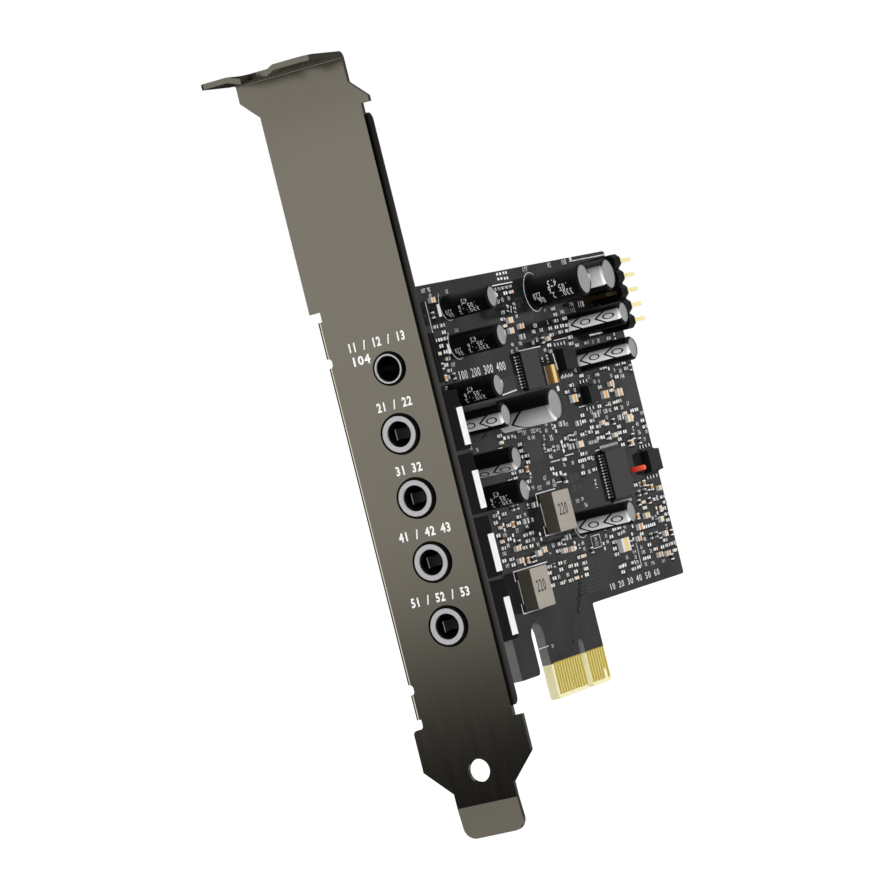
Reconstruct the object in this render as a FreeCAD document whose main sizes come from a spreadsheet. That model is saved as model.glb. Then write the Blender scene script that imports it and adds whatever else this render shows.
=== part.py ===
import FreeCAD, Part
import math
import os
import Sketcher

# Sound card for a computer's expansion slot, low board on a full-height bracket.
# Frame: X runs from the bracket into the card, Z runs up, and the parts stand on the side that faces -Y.
# Origin: middle of the key notch, at the bottom edge of the contacts, halfway through the board.

V = FreeCAD.Vector
Turn = FreeCAD.Rotation

doc = FreeCAD.newDocument("sound_card")
sheet = doc.addObject("Spreadsheet::Sheet", "Sizes")


class Size:
    """A length with its value and the sheet expression that it comes from."""

    def __init__(self, value, text):
        self.value = value
        self.text = text

    def join(self, other, sign, value):
        return Size(value, "(%s %s %s)" % (self.text, sign, other.text))

    def __add__(self, other):
        other = asSize(other)
        return self.join(other, "+", self.value + other.value)

    def __radd__(self, other):
        return asSize(other) + self

    def __sub__(self, other):
        other = asSize(other)
        return self.join(other, "-", self.value - other.value)

    def __rsub__(self, other):
        return asSize(other) - self

    def __mul__(self, other):
        other = asSize(other)
        return self.join(other, "*", self.value * other.value)

    def __rmul__(self, other):
        return asSize(other) * self

    def __truediv__(self, other):
        other = asSize(other)
        return self.join(other, "/", self.value / other.value)

    def __neg__(self):
        return asSize(0) - self


def asSize(number):
    if isinstance(number, Size):
        return number
    return Size(float(number), "%g" % number)


# Driving sizes, in millimetres
driving = {
    # Board
    "board_thickness": 1.57,
    "board_left": 57.5,
    "board_right": 46.4,
    "board_top": 68.6,
    "board_bottom": 12.8,
    "board_bottom_left": 11.5,
    "board_corner": 0.6,
    "contact_left": 12.6,
    "contact_right": 8.15,
    "contact_bevel": 0.4,
    "key_width": 1.9,
    "key_height": 8.0,
    "slot_width": 4.5,
    "slot_top": 12.7,
    "foot_width": 7.1,
    "foot_bottom": 4.6,
    "foot_corner": 0.9,
    "ear_width": 11.0,
    "ear_bottom": 2.9,
    # Gold contacts
    "pad_pitch": 1.0,
    "pad_width": 0.7,
    "pad_height": 5.1,
    "pad_lift": 0.65,
    "pad_short": 3.6,
    "pad_thickness": 0.05,
    "pad_start": 1.5,
    # Bracket sheet
    "sheet_thickness": 0.86,
    "bracket_face": 59.05,
    "bracket_top": 104.7,
    "bracket_length": 120.02,
    "bracket_width": 18.42,
    "bend_inside": 0.3,
    "tab_depth": 10.9,
    "tab_overhang": 0.3,
    "tab_corner": 2.0,
    "tab_chamfer": 0.6,
    "bend_relief": 1.2,
    "neck_left": 2.8,
    "neck_left_drop": 3.6,
    "neck_right": 2.7,
    "neck_right_drop": 4.8,
    "screw_slot_width": 4.2,
    "screw_slot_depth": 5.6,
    "screw_slot_place": 3.6,
    "dish_drop": 0.75,
    "dish_left": 2.2,
    "dish_right": 1.6,
    "right_lip_inset": 1.39,
    "right_lip_top": 9.9,
    "right_lip_rise": 18.52,
    "right_lip_depth": 2.9,
    "right_lip_corner": 1.2,
    "relief_height": 1.5,
    "left_lip_inset": 0.65,
    "upper_ear_top": 38.7,
    "upper_ear_height": 5.65,
    "left_lip_top": 45.85,
    "left_lip_rise": 24.87,
    "left_lip_depth": 2.9,
    "left_bend_depth": 1.6,
    "lower_ear_rise": 19.42,
    "lower_ear_height": 3.85,
    "notch_round": 0.6,
    "lower_ear_spread": 1.25,
    "ear_depth": 9.2,
    "ear_neck": 3.4,
    "shoulder_rise": 11.42,
    "tongue_width": 10.19,
    "tongue_end": 5.02,
    "tongue_set": 0.55,
    "tongue_corner": 1.9,
    "foot_hole_radius": 1.8,
    "foot_hole_rise": 10.02,
    # Jacks
    "jack_low": 16.95,
    "jack_pitch": 9.94,
    "jack_axis": 7.0,
    "jack_width": 9.3,
    "top_jack_width": 7.7,
    "jack_height": 10.8,
    "jack_depth": 14.4,
    "jack_gap": 0.1,
    "barrel_radius": 3.1,
    "barrel_stand": 0.5,
    "barrel_clearance": 0.1,
    "ring_outer": 2.75,
    "ring_inner": 2.0,
    "ring_depth": 0.3,
    "bore_radius": 1.8,
    "bore_depth": 13.2,
    "top_jack_axis": 7.85,
    "top_barrel_radius": 2.55,
    "top_ring_outer": 2.25,
    "top_ring_inner": 2.0,
    "top_step_depth": 8.8,
    "top_step_height": 9.2,
    "top_jack_drop": 0.6,
    "plate_width": 2.4,
    "plate_height": 5.9,
    "plate_drop": 1.1,
    "plate_thickness": 0.3,
    "jack_pin_width": 0.8,
    "jack_pin_reach": 1.3,
    # Electrolytic capacitors
    "small_can": 3.9,
    "large_can": 5.4,
    "short_can_height": 8.1,
    "tall_can_height": 9.3,
    "large_can_height": 9.4,
    "sleeve_wall": 0.1,
    "can_rim": 0.25,
    "can_lead_radius": 0.25,
    "can_lead_reach": 1.2,
    "small_lead_pitch": 1.5,
    "large_lead_pitch": 2.0,
    # Inductors
    "inductor_length": 6.5,
    "inductor_height": 2.45,
    "inductor_corner": 0.35,
    "inductor_foot": 1.4,
    "inductor_foot_width": 3.9,
    "inductor_foot_thickness": 0.12,
    # Chips
    "lead_thickness": 0.15,
    "lead_knee": 0.5,
    "chip_standoff": 0.1,
    "chip_taper": 8.0,
    "chip_dot_radius": 0.2,
    "chip_dot_inset": 0.28,
    "chip_dot_depth": 0.05,
    "processor_side": 8.2,
    "processor_height": 1.0,
    "fine_pitch": 0.5,
    "fine_lead_width": 0.22,
    "fine_lead_reach": 0.95,
    "converter_length": 6.6,
    "converter_width": 6.4,
    "amplifier_length": 4.9,
    "amplifier_width": 3.7,
    "amplifier_height": 1.5,
    "coarse_pitch": 1.27,
    "coarse_lead_width": 0.42,
    "coarse_lead_reach": 1.05,
    "regulator_length": 3.8,
    "regulator_width": 3.0,
    "regulator_height": 1.6,
    # Pin header
    "header_pitch": 2.54,
    "header_chamfer": 0.7,
    "header_x": 38.2,
    "header_z": 61.1,
    "pin_side": 0.64,
    "pin_length": 6.3,
    "pin_reach": 1.4,
    "pin_setback": 1.5,
    # Mounting screws
    "screw_radius": 1.4,
    "screw_clearance": 0.1,
    "screw_head_radius": 2.3,
    "screw_head_height": 1.7,
    "screw_drive_radius": 0.9,
    "screw_drive_depth": 0.9,
    "screw_inset": 5.6,
    # Small parts
    "chip_part_height": 0.55,
    "chip_resistor_height": 0.38,
    "chip_cap_share": 0.25,
    "terminal_wrap": 0.03,
    # Margins of the blocks that cut, and how far a rounded slot end stays short of a full half circle
    "margin": 1.0,
    "round_gap": 0.01,
}

# Where the parts stand on the board: X from the key notch, Z from the contact edge
layout = {
    "processor": (28.95, 32.0),
    "converter": (5.5, 51.9),
    "amplifier_a": (19.7, 52.3),
    "amplifier_b": (43.0, 32.5),
    "regulator": (25.3, 45.8),
    "inductor_1": (1.0, 28.7),
    "inductor_2": (-13.9, 18.0),
    "capacitor_1": (-18.2, 64.35),
    "capacitor_2": (-18.2, 58.15),
    "capacitor_3": (-23.8, 50.6),
    "capacitor_4": (-23.8, 45.8),
    "capacitor_5": (-23.8, 38.9),
    "capacitor_6": (-23.8, 33.7),
    "capacitor_7": (-7.8, 45.6),
    "capacitor_8": (14.8, 64.15),
    "capacitor_9": (24.8, 64.15),
    "capacitor_10": (27.2, 57.5),
    "capacitor_11": (27.3, 51.5),
    "capacitor_12": (11.0, 25.7),
    "tantalum_a": (13.1, 50.4),
    "tantalum_b": (24.7, 20.3),
}

row = 0
sizes = {}


def addSize(alias, value):
    global row
    row += 1
    sheet.set("A%d" % row, alias)
    sheet.set("B%d" % row, "%g" % value)
    sheet.setAlias("B%d" % row, alias)
    sizes[alias] = Size(value, "Sizes.%s" % alias)


for alias, value in driving.items():
    addSize(alias, value)
for name, (across, up) in layout.items():
    addSize(name + "_across", across)
    addSize(name + "_up", up)
doc.recompute()


def S(alias):
    return sizes[alias]


def spot(name):
    return S(name + "_across"), S(name + "_up")


# Planes that several pieces share
face = -S("board_thickness") / 2
back = S("board_thickness") / 2
sheetFront = -S("bracket_face")
sheetBack = sheetFront + S("sheet_thickness")
sheetLeft = back + S("sheet_thickness") + S("left_lip_inset")
sheetRight = sheetLeft - S("bracket_width")
bendOutside = S("bend_inside") + S("sheet_thickness")
bracketTip = S("bracket_top") - S("bracket_length")
tabEdge = sheetFront - S("tab_depth")
flatLeft = sheetLeft - S("left_lip_inset") - bendOutside
turns = {
    "XY": Turn(),
    "XZ": Turn(V(1, 0, 0), 90),
    "YZ": Turn(V(1, 1, 1), 120),
    "X": Turn(V(0, 1, 0), 90),
    "Y": Turn(V(1, 0, 0), -90),
    "-Y": Turn(V(1, 0, 0), 90),
    "Z": Turn(),
}


# Drawing helpers
def bind(thing, name, size):
    thing.setExpression(name, asSize(size).text)


def place(thing, x, y, z):
    for axis, size in (("x", x), ("y", y), ("z", z)):
        bind(thing, "Placement.Base." + axis, size)


def pin(sketch, item, point, across, up):
    for kind, size in (("DistanceX", asSize(across)), ("DistanceY", asSize(up))):
        index = sketch.addConstraint(Sketcher.Constraint(kind, -1, 1, item, point, size.value))
        bind(sketch, "Constraints[%d]" % index, size)


def drawOutline(sketch, corners):
    """Closed outline through corners, each (across, up) or (across, up, round)."""
    points = []
    for corner in corners:
        points.append(V(asSize(corner[0]).value, asSize(corner[1]).value, 0))
    count = len(points)
    starts = [None] * count
    ends = [None] * count
    for i, corner in enumerate(corners):
        here = points[i]
        toPrevious = (points[i - 1] - here).normalize()
        toNext = (points[(i + 1) % count] - here).normalize()
        starts[i] = here
        ends[i] = here
        if len(corner) > 2:
            half = toPrevious.getAngle(toNext) / 2
            run = corner[2].value / math.tan(half)
            starts[i] = here + toPrevious * run
            ends[i] = here + toNext * run
    lines = []
    for i in range(count):
        line = Part.LineSegment(ends[i], starts[(i + 1) % count])
        lines.append(sketch.addGeometry(line, False))
    for i, corner in enumerate(corners):
        before = lines[i - 1]
        after = lines[i]
        if len(corner) == 2:
            sketch.addConstraint(Sketcher.Constraint("Coincident", before, 2, after, 1))
            pin(sketch, after, 1, corner[0], corner[1])
            continue
        roundCorner(sketch, corner, points[i], starts[i], ends[i], before, after)


def roundCorner(sketch, corner, here, start, end, before, after):
    radius = corner[2]
    toStart = start - here
    toEnd = end - here
    middle = (toStart + toEnd).normalize()
    half = toStart.getAngle(toEnd) / 2
    centre = here + middle * (radius.value / math.sin(half))
    circle = Part.Circle(centre, V(0, 0, 1), radius.value)
    startAngle = math.atan2(start.y - centre.y, start.x - centre.x)
    endAngle = math.atan2(end.y - centre.y, end.x - centre.x)
    leftTurn = (here - start).cross(end - here).z > 0
    if leftTurn:
        arc = sketch.addGeometry(Part.ArcOfCircle(circle, startAngle, endAngle), False)
        first, last = 1, 2
    else:
        arc = sketch.addGeometry(Part.ArcOfCircle(circle, endAngle, startAngle), False)
        first, last = 2, 1
    sketch.addConstraint(Sketcher.Constraint("Tangent", before, 2, arc, first))
    sketch.addConstraint(Sketcher.Constraint("Tangent", arc, last, after, 1))
    index = sketch.addConstraint(Sketcher.Constraint("Radius", arc, radius.value))
    bind(sketch, "Constraints[%d]" % index, radius)
    tip = sketch.addGeometry(Part.Point(here), True)
    pin(sketch, tip, 1, corner[0], corner[1])
    sketch.addConstraint(Sketcher.Constraint("PointOnObject", tip, 1, before))
    sketch.addConstraint(Sketcher.Constraint("PointOnObject", tip, 1, after))


def drawCircle(sketch, across, up, radius):
    centre = V(asSize(across).value, asSize(up).value, 0)
    item = sketch.addGeometry(Part.Circle(centre, V(0, 0, 1), asSize(radius).value), False)
    pin(sketch, item, 3, across, up)
    index = sketch.addConstraint(Sketcher.Constraint("Radius", item, asSize(radius).value))
    bind(sketch, "Constraints[%d]" % index, radius)


def bodySketch(body, name, plane, offset):
    sketch = body.newObject("Sketcher::SketchObject", name)
    role = plane + "_Plane"
    support = [item for item in body.Origin.OriginFeatures if item.Role == role][0]
    sketch.AttachmentSupport = [(support, "")]
    sketch.MapMode = "FlatFace"
    bind(sketch, "AttachmentOffset.Base.z", offset)
    return sketch


def addPad(body, name, sketch, length, taper=None, down=False):
    pad = body.newObject("PartDesign::Pad", name)
    pad.Profile = sketch
    bind(pad, "Length", length)
    pad.Reversed = down
    if taper is not None:
        bind(pad, "TaperAngle", -taper)
    return pad


def newBody(name):
    body = doc.addObject("PartDesign::Body", name)
    body.Label = name
    return body


def looseSketch(name, plane):
    sketch = doc.addObject("Sketcher::SketchObject", name)
    sketch.Placement = FreeCAD.Placement(V(), turns[plane])
    return sketch


def extrude(name, sketch, length, behind=0):
    """Solid along the sketch's normal, from behind it to length before it."""
    solid = doc.addObject("Part::Extrusion", name)
    solid.Base = sketch
    solid.DirMode = "Normal"
    solid.Solid = True
    bind(solid, "LengthFwd", length)
    bind(solid, "LengthRev", behind)
    return solid


def cylinder(name, radius, length, x, y, z, direction):
    solid = doc.addObject("Part::Cylinder", name)
    solid.Placement = FreeCAD.Placement(V(), turns[direction])
    bind(solid, "Radius", radius)
    bind(solid, "Height", length)
    place(solid, x, y, z)
    return solid


def prism(name, sides, radius, length, x, y, z, direction):
    solid = doc.addObject("Part::Prism", name)
    solid.Polygon = sides
    solid.Placement = FreeCAD.Placement(V(), turns[direction])
    bind(solid, "Circumradius", radius)
    bind(solid, "Height", length)
    place(solid, x, y, z)
    return solid


def box(name, length, width, height, x, y, z):
    solid = doc.addObject("Part::Box", name)
    bind(solid, "Length", length)
    bind(solid, "Width", width)
    bind(solid, "Height", height)
    place(solid, x, y, z)
    return solid


def fuse(name, things):
    solid = doc.addObject("Part::MultiFuse", name)
    solid.Shapes = things
    return solid


def common(name, things):
    solid = doc.addObject("Part::MultiCommon", name)
    solid.Shapes = things
    return solid


def cut(name, base, tool):
    solid = doc.addObject("Part::Cut", name)
    solid.Base = base
    solid.Tool = tool
    return solid


def group(name, things):
    """Several separate solids that share one node."""
    together = doc.addObject("Part::Compound", name)
    together.Links = things
    together.Label = name
    return together


nodes = []


def keep(thing, name):
    thing.Label = name
    nodes.append(thing)


# Board: one outline with contact tongue, key notch, slot, foot and mounting ear, drilled for every lead
def makeBoard(leads):
    body = newBody("board_blank")
    sketch = bodySketch(body, "board_outline", "XZ", face)
    corner = S("board_corner")
    small = corner / 2
    slotLeft = -S("contact_left") - S("slot_width")
    footLeft = slotLeft - S("foot_width")
    earRight = S("ear_width") - S("board_left")
    keyHalf = S("key_width") / 2
    slotRound = S("slot_width") / 2 - S("round_gap")
    keyRound = keyHalf - S("round_gap")
    bevel = S("contact_bevel")
    drawOutline(sketch, [
        (-S("board_left"), S("board_top"), corner),
        (-S("board_left"), S("ear_bottom"), corner),
        (earRight, S("ear_bottom"), corner),
        (earRight, S("board_bottom_left"), corner),
        (footLeft, S("board_bottom_left"), corner),
        (footLeft, S("foot_bottom"), small),
        (slotLeft, S("foot_bottom"), S("foot_corner")),
        (slotLeft, S("slot_top"), slotRound),
        (-S("contact_left"), S("slot_top"), slotRound),
        (-S("contact_left"), bevel),
        (bevel - S("contact_left"), 0),
        (-keyHalf - bevel, 0),
        (-keyHalf, bevel),
        (-keyHalf, S("key_height"), keyRound),
        (keyHalf, S("key_height"), keyRound),
        (keyHalf, bevel),
        (keyHalf + bevel, 0),
        (S("contact_right") - bevel, 0),
        (S("contact_right"), bevel),
        (S("contact_right"), S("board_bottom"), small),
        (S("board_right"), S("board_bottom"), corner),
        (S("board_right"), S("board_top"), corner),
    ])
    addPad(body, "board_pad", sketch, S("board_thickness"))
    holes = bodySketch(body, "board_holes", "XZ", face)
    for up in screwHeights():
        drawCircle(holes, screwX(), up, S("screw_radius") + S("screw_clearance"))
    pocket = body.newObject("PartDesign::Pocket", "board_drill")
    pocket.Profile = holes
    pocket.Reversed = True
    bind(pocket, "Length", S("board_thickness"))
    keep(cut("board_drilled", body, fuse("lead_holes", leads)), "circuit_board")


def screwX():
    return sheetBack + S("screw_inset")


def screwHeights():
    upper = S("bracket_top") - S("upper_ear_top") - S("upper_ear_height") / 2
    lower = bracketTip + S("lower_ear_rise") + S("lower_ear_height") / 2
    return upper, lower


# Gold contacts: eleven and seven on each face, one of them short
def makeContacts():
    pads = []
    pitch = S("pad_pitch").value
    width = S("pad_width").value
    lift = S("pad_lift").value
    tall = S("pad_height").value
    thick = S("pad_thickness").value
    places = [-(S("pad_start").value + pitch * i) for i in range(11)]
    places += [S("pad_start").value + pitch * i for i in range(7)]
    for y in (face.value - thick, back.value):
        for i, x in enumerate(places):
            height = S("pad_short").value if i == len(places) - 2 else tall
            corner = V(x - width / 2, y, lift + tall - height)
            pads.append(Part.makeBox(width, thick, height, corner))
    feature = doc.addObject("Part::Feature", "edge_contacts")
    feature.Shape = Part.makeCompound(pads)
    keep(feature, "edge_contacts")


# Bracket: a bent strip, cut to the outline seen from in front, with the lips added along its sides
def makeBracket():
    top = S("bracket_top")
    thick = S("sheet_thickness")
    inside = S("bend_inside")
    fold = bracketTip + S("tongue_end")
    set_ = S("tongue_set")
    strip = looseSketch("bracket_strip", "XZ")
    drawOutline(strip, [
        (sheetFront - S("tab_depth"), top),
        (sheetBack, top, bendOutside),
        (sheetBack, fold),
        (sheetBack + set_, bracketTip),
        (sheetFront + set_, bracketTip),
        (sheetFront, fold),
        (sheetFront, top - thick, inside),
        (sheetFront - S("tab_depth"), top - thick),
    ])
    wide = S("bracket_width") * 2
    bent = extrude("bracket_bent", strip, wide, wide)
    whole = common("bracket_blank", [bent, makeFrontCut(), makeTabCut()])
    flat = cut("bracket_flat", whole, makeDishSeat())
    pieces = [flat, makeDish()] + makeRightLip() + makeLeftLips()
    joined = fuse("bracket_joined", pieces)
    holes = [cylinder("foot_hole", S("foot_hole_radius"), S("bracket_width"), sheetFront - thick,
                      sheetLeft - S("bracket_width") / 2, bracketTip + S("foot_hole_rise"), "X")]
    holes += [makeScrewSlot()] + makeLipNotches()
    for number, y, z, radius in jackAxes():
        holes.append(cylinder("jack_hole_%d" % number, radius + S("barrel_clearance"),
                              thick * 3, sheetFront - thick, y, z, "X"))
    for i, up in enumerate(screwHeights()):
        holes.append(cylinder("tapped_hole_%d" % (i + 1), S("screw_radius") + S("screw_clearance"),
                              thick * 3, screwX(), back - thick, up, "Y"))
    drilled = cut("bracket_drilled", joined, fuse("bracket_holes", holes))
    drilled.Refine = True
    keep(drilled, "bracket")


def makeFrontCut():
    """Outline of the bracket seen from in front, the bends' own widths left off the sides."""
    top = S("bracket_top")
    margin = S("margin")
    left = sheetLeft
    right = sheetRight
    neckLeft = left + S("neck_left")
    neckRight = right + S("neck_right")
    relief = S("relief_height")
    lipEnd = sheetRight + S("right_lip_inset")
    flatRight = lipEnd + bendOutside
    leftStart = top - S("upper_ear_top")
    leftEnd = bracketTip + S("lower_ear_rise")
    lipTop = top - S("right_lip_top")
    lipBottom = bracketTip + S("right_lip_rise")
    middle = left - S("bracket_width") / 2
    shoulder = bracketTip + S("shoulder_rise")
    half = S("tongue_width") / 2
    slope = S("bracket_width") / 2 - half
    sketch = looseSketch("bracket_front", "YZ")
    neckCut = S("neck_left")
    rightCut = S("neck_right")
    over = neckLeft + S("tab_overhang")
    under = top - S("sheet_thickness") - S("bend_inside")
    drawOutline(sketch, [
        (over, top + margin),
        (over, under),
        (neckLeft, under),
        (neckLeft, top - S("neck_left_drop")),
        (left, top - S("neck_left_drop") - neckCut),
        (left, leftStart + relief),
        (flatLeft, leftStart + relief),
        (flatLeft, leftEnd - relief, S("notch_round")),
        (left, leftEnd - relief, S("board_corner")),
        (left, shoulder),
        (middle + half, shoulder - slope),
        (middle + half, bracketTip, S("tongue_corner")),
        (middle - half, bracketTip, S("tongue_corner")),
        (middle - half, shoulder - slope),
        (right, shoulder),
        (right, lipBottom - relief),
        (lipEnd, lipBottom - relief),
        (lipEnd, lipBottom),
        (flatRight, lipBottom),
        (flatRight, lipTop),
        (lipEnd, lipTop),
        (lipEnd, lipTop + relief),
        (right, lipTop + relief),
        (right, top - S("neck_right_drop") - rightCut),
        (neckRight, top - S("neck_right_drop")),
        (neckRight, top + margin),
    ])
    reach = S("bracket_face") * 2
    return extrude("bracket_front_block", sketch, reach, reach)


def makeTabCut():
    """Outline of the tab seen from above, without its screw slot."""
    outer = tabEdge
    left = sheetLeft + S("neck_left")
    over = left + S("tab_overhang")
    right = sheetRight + S("neck_right")
    chamfer = S("tab_chamfer")
    beyond = sheetRight - S("margin")
    inner = sheetFront - S("bend_relief")
    sketch = looseSketch("tab_outline", "XY")
    drawOutline(sketch, [
        (outer + chamfer, over),
        (outer, over - chamfer),
        (outer, right, S("tab_corner")),
        (sheetFront - S("bend_inside"), right),
        (sheetFront - S("bend_inside"), beyond),
        (sheetFront + S("bracket_width"), beyond),
        (sheetFront + S("bracket_width"), left),
        (inner, left),
        (inner, over),
    ])
    reach = S("bracket_length") * 2
    return extrude("tab_block", sketch, reach, reach)


def dishSides():
    """Across places of the dished edge: its left start, the slot's two sides, and its right end."""
    slotLeft = S("screw_slot_width") / 2 - S("screw_slot_place")
    slotRight = slotLeft - S("screw_slot_width")
    return slotLeft + S("dish_left"), slotLeft, slotRight, slotRight - S("dish_right")


def makeDishSeat():
    """The block of flat tab that the dished edge takes the place of."""
    start, slotLeft, slotRight, end = dishSides()
    return box("dish_seat", S("screw_slot_depth"), start - end, S("sheet_thickness"),
               tabEdge, end, S("bracket_top") - S("sheet_thickness"))


def makeDish():
    """The tab's edge dips on both sides of the screw slot and rises to the flat sheet at the slot's end."""
    thick = S("sheet_thickness")
    start, slotLeft, slotRight, end = dishSides()
    sections = []
    for name, x, drop in (("dish_edge", tabEdge, S("dish_drop")),
                          ("dish_root", tabEdge + S("screw_slot_depth"), asSize(0))):
        top = S("bracket_top")
        low = top - drop
        sketch = looseSketch(name, "YZ")
        drawOutline(sketch, [(start, top), (slotLeft, low), (slotRight, low), (end, top),
                             (end, top - thick), (slotRight, low - thick),
                             (slotLeft, low - thick), (start, top - thick)])
        place(sketch, x, 0, 0)
        sections.append(sketch)
    dish = doc.addObject("Part::Loft", "tab_dish")
    dish.Sections = sections
    dish.Solid = True
    dish.Ruled = True
    return dish


def makeScrewSlot():
    """Open slot for the clamping screw, with a round end."""
    start, slotLeft, slotRight, end = dishSides()
    inner = tabEdge + S("screw_slot_depth")
    outer = tabEdge - S("margin")
    round_ = S("screw_slot_width") / 2 - S("round_gap")
    sketch = looseSketch("screw_slot_outline", "XY")
    drawOutline(sketch, [(outer, slotLeft), (inner, slotLeft, round_),
                         (inner, slotRight, round_), (outer, slotRight)])
    place(sketch, 0, 0, S("bracket_top") - S("bracket_width") / 2)
    return extrude("screw_slot", sketch, S("bracket_width"))


def lipFlange(name, outside, toward, depth, z0, height):
    """Bent flange: a quarter bend off the sheet and a straight leg, extruded upwards."""
    thick = S("sheet_thickness")
    sketch = looseSketch(name + "_profile", "XY")
    rim = outside - toward * thick
    start = outside - toward * (bendOutside + S("bend_inside"))
    drawOutline(sketch, [
        (sheetFront, start),
        (sheetFront, outside, bendOutside),
        (sheetFront + depth, outside),
        (sheetFront + depth, rim),
        (sheetBack, rim, S("bend_inside")),
        (sheetBack, start),
    ])
    place(sketch, 0, 0, z0)
    return extrude(name + "_flange", sketch, height)


def lipSide(name, depth, z0, height, spread):
    """Side outline of a lip, its free corners rounded, wider past its neck where it spreads."""
    corner = S("right_lip_corner")
    near = sheetFront - S("margin")
    far = sheetFront + depth
    neck = sheetFront + S("ear_neck")
    sketch = looseSketch(name + "_side", "XZ")
    if spread is None:
        corners = [(near, z0), (far, z0, corner), (far, z0 + height, corner), (near, z0 + height)]
    else:
        low = z0 - spread
        high = z0 + height + spread
        corners = [(near, z0), (neck, z0), (neck, low), (far, low, corner),
                   (far, high, corner), (neck, high), (neck, z0 + height), (near, z0 + height)]
    drawOutline(sketch, corners)
    wide = S("bracket_width") * 2
    return extrude(name + "_side_block", sketch, wide, wide)


def makeLip(name, outside, toward, depth, z0, height, spread=None):
    reach = asSize(0) if spread is None else spread
    flange = lipFlange(name, outside, toward, depth, z0 - reach, height + reach * 2)
    return common(name, [flange, lipSide(name, depth, z0, height, spread)])


def makeRightLip():
    outside = sheetRight + S("right_lip_inset")
    z0 = bracketTip + S("right_lip_rise")
    height = S("bracket_top") - S("right_lip_top") - z0
    return [makeLip("right_lip", outside, -1, S("right_lip_depth"), z0, height)]


def leftLipSpans():
    """Name, depth, spread, lowest and highest point of each lip along the left side, from the top down."""
    top = S("bracket_top")
    earTop = top - S("upper_ear_top")
    lipTop = top - S("left_lip_top")
    lowEar = bracketTip + S("lower_ear_rise")
    return (("upper_ear", S("ear_depth"), None, earTop - S("upper_ear_height"), earTop),
            ("left_lip", S("left_lip_depth"), None, bracketTip + S("left_lip_rise"), lipTop),
            ("lower_ear", S("ear_depth"), S("lower_ear_spread"), lowEar,
             lowEar + S("lower_ear_height")))


def makeLeftLips():
    """The lips, and the one bend that they all come from."""
    outside = sheetLeft - S("left_lip_inset")
    spans = leftLipSpans()
    lips = []
    for name, depth, spread, low, high in spans:
        lips.append(makeLip(name, outside, 1, depth, low, high - low, spread))
    low = spans[-1][3]
    high = spans[0][4]
    lips.append(lipFlange("left_bend", outside, 1, S("left_bend_depth"), low, high - low))
    return lips


def makeLipNotches():
    """Round-cornered notches through the bend between one lip and the next."""
    spans = leftLipSpans()
    outer = sheetLeft + S("margin")
    notches = []
    for i in range(2):
        low = spans[i + 1][4]
        high = spans[i][3]
        sketch = looseSketch("notch_outline_%d" % (i + 1), "YZ")
        drawOutline(sketch, [(outer, low), (flatLeft, low, S("notch_round")),
                             (flatLeft, high, S("notch_round")), (outer, high)])
        place(sketch, sheetFront - S("margin"), 0, 0)
        notches.append(extrude("lip_notch_%d" % (i + 1), sketch,
                               S("left_bend_depth") + S("margin") * 2))
    return notches


# Jacks: a moulded housing with a barrel through the bracket, a metal ring in its mouth, and contacts
def jackAxes():
    axes = []
    for i in range(4):
        z = S("jack_low") + S("jack_pitch") * i
        axes.append((5 - i, face - S("jack_axis"), z, S("barrel_radius")))
    z = S("jack_low") + S("jack_pitch") * 4
    axes.append((1, face - S("top_jack_axis"), z, S("top_barrel_radius")))
    return axes


def jackWidth(number):
    return S("top_jack_width") if number == 1 else S("jack_width")


def housingOutline(number, sketch):
    """Side outline of a housing: a plain block, or one with a lower rear on the uppermost jack."""
    front = sheetBack + S("jack_gap")
    rear = front + S("jack_depth")
    low = face
    high = face - S("jack_height")
    corner = S("board_corner")
    if number == 1:
        step = front + S("top_step_depth")
        stepHigh = face - S("top_step_height")
        top = high - S("top_jack_drop")
        corners = [(front, low), (rear, low), (rear, stepHigh, corner), (step, stepHigh),
                   (step, top, corner), (front, top, corner)]
    else:
        notch = S("plate_thickness")
        start = rear - S("plate_width")
        corners = [(front, low), (rear, low), (rear, high + notch), (start, high + notch),
                   (start, high), (front, high, corner)]
    drawOutline(sketch, corners)


def makeJack(number, y, z, radius):
    front = sheetBack + S("jack_gap")
    mouth = sheetFront - S("barrel_stand")
    ringOuter = S("top_ring_outer") if number == 1 else S("ring_outer")
    sketch = looseSketch("jack_outline_%d" % number, "XY")
    housingOutline(number, sketch)
    place(sketch, 0, 0, z - jackWidth(number) / 2)
    block = extrude("jack_block_%d" % number, sketch, jackWidth(number))
    barrel = cylinder("jack_barrel_%d" % number, radius, front - mouth + S("margin"), mouth, y, z,
                      "X")
    solid = fuse("jack_solid_%d" % number, [block, barrel])
    seat = cylinder("ring_seat_%d" % number, ringOuter, S("ring_depth"), mouth, y, z, "X")
    bore = cylinder("plug_bore_%d" % number, S("bore_radius"), S("bore_depth"), mouth, y, z, "X")
    tools = [seat, bore]
    if number != 1:
        tools.append(plateSlot(number, z))
    housing = cut("jack_housing_%d" % number, solid, fuse("jack_tools_%d" % number, tools))
    housing.Refine = True
    keep(housing, "jack_housing_%d" % number)


def plateSlot(number, z):
    """Slot down the rear face that the folded contact plate drops into."""
    rear = sheetBack + S("jack_gap") + S("jack_depth")
    return box("plate_slot_%d" % number, S("plate_thickness"), S("jack_height"), S("plate_height"),
               rear - S("plate_thickness"), face - S("jack_height"),
               z - S("plate_drop") - S("plate_height") / 2)


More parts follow.
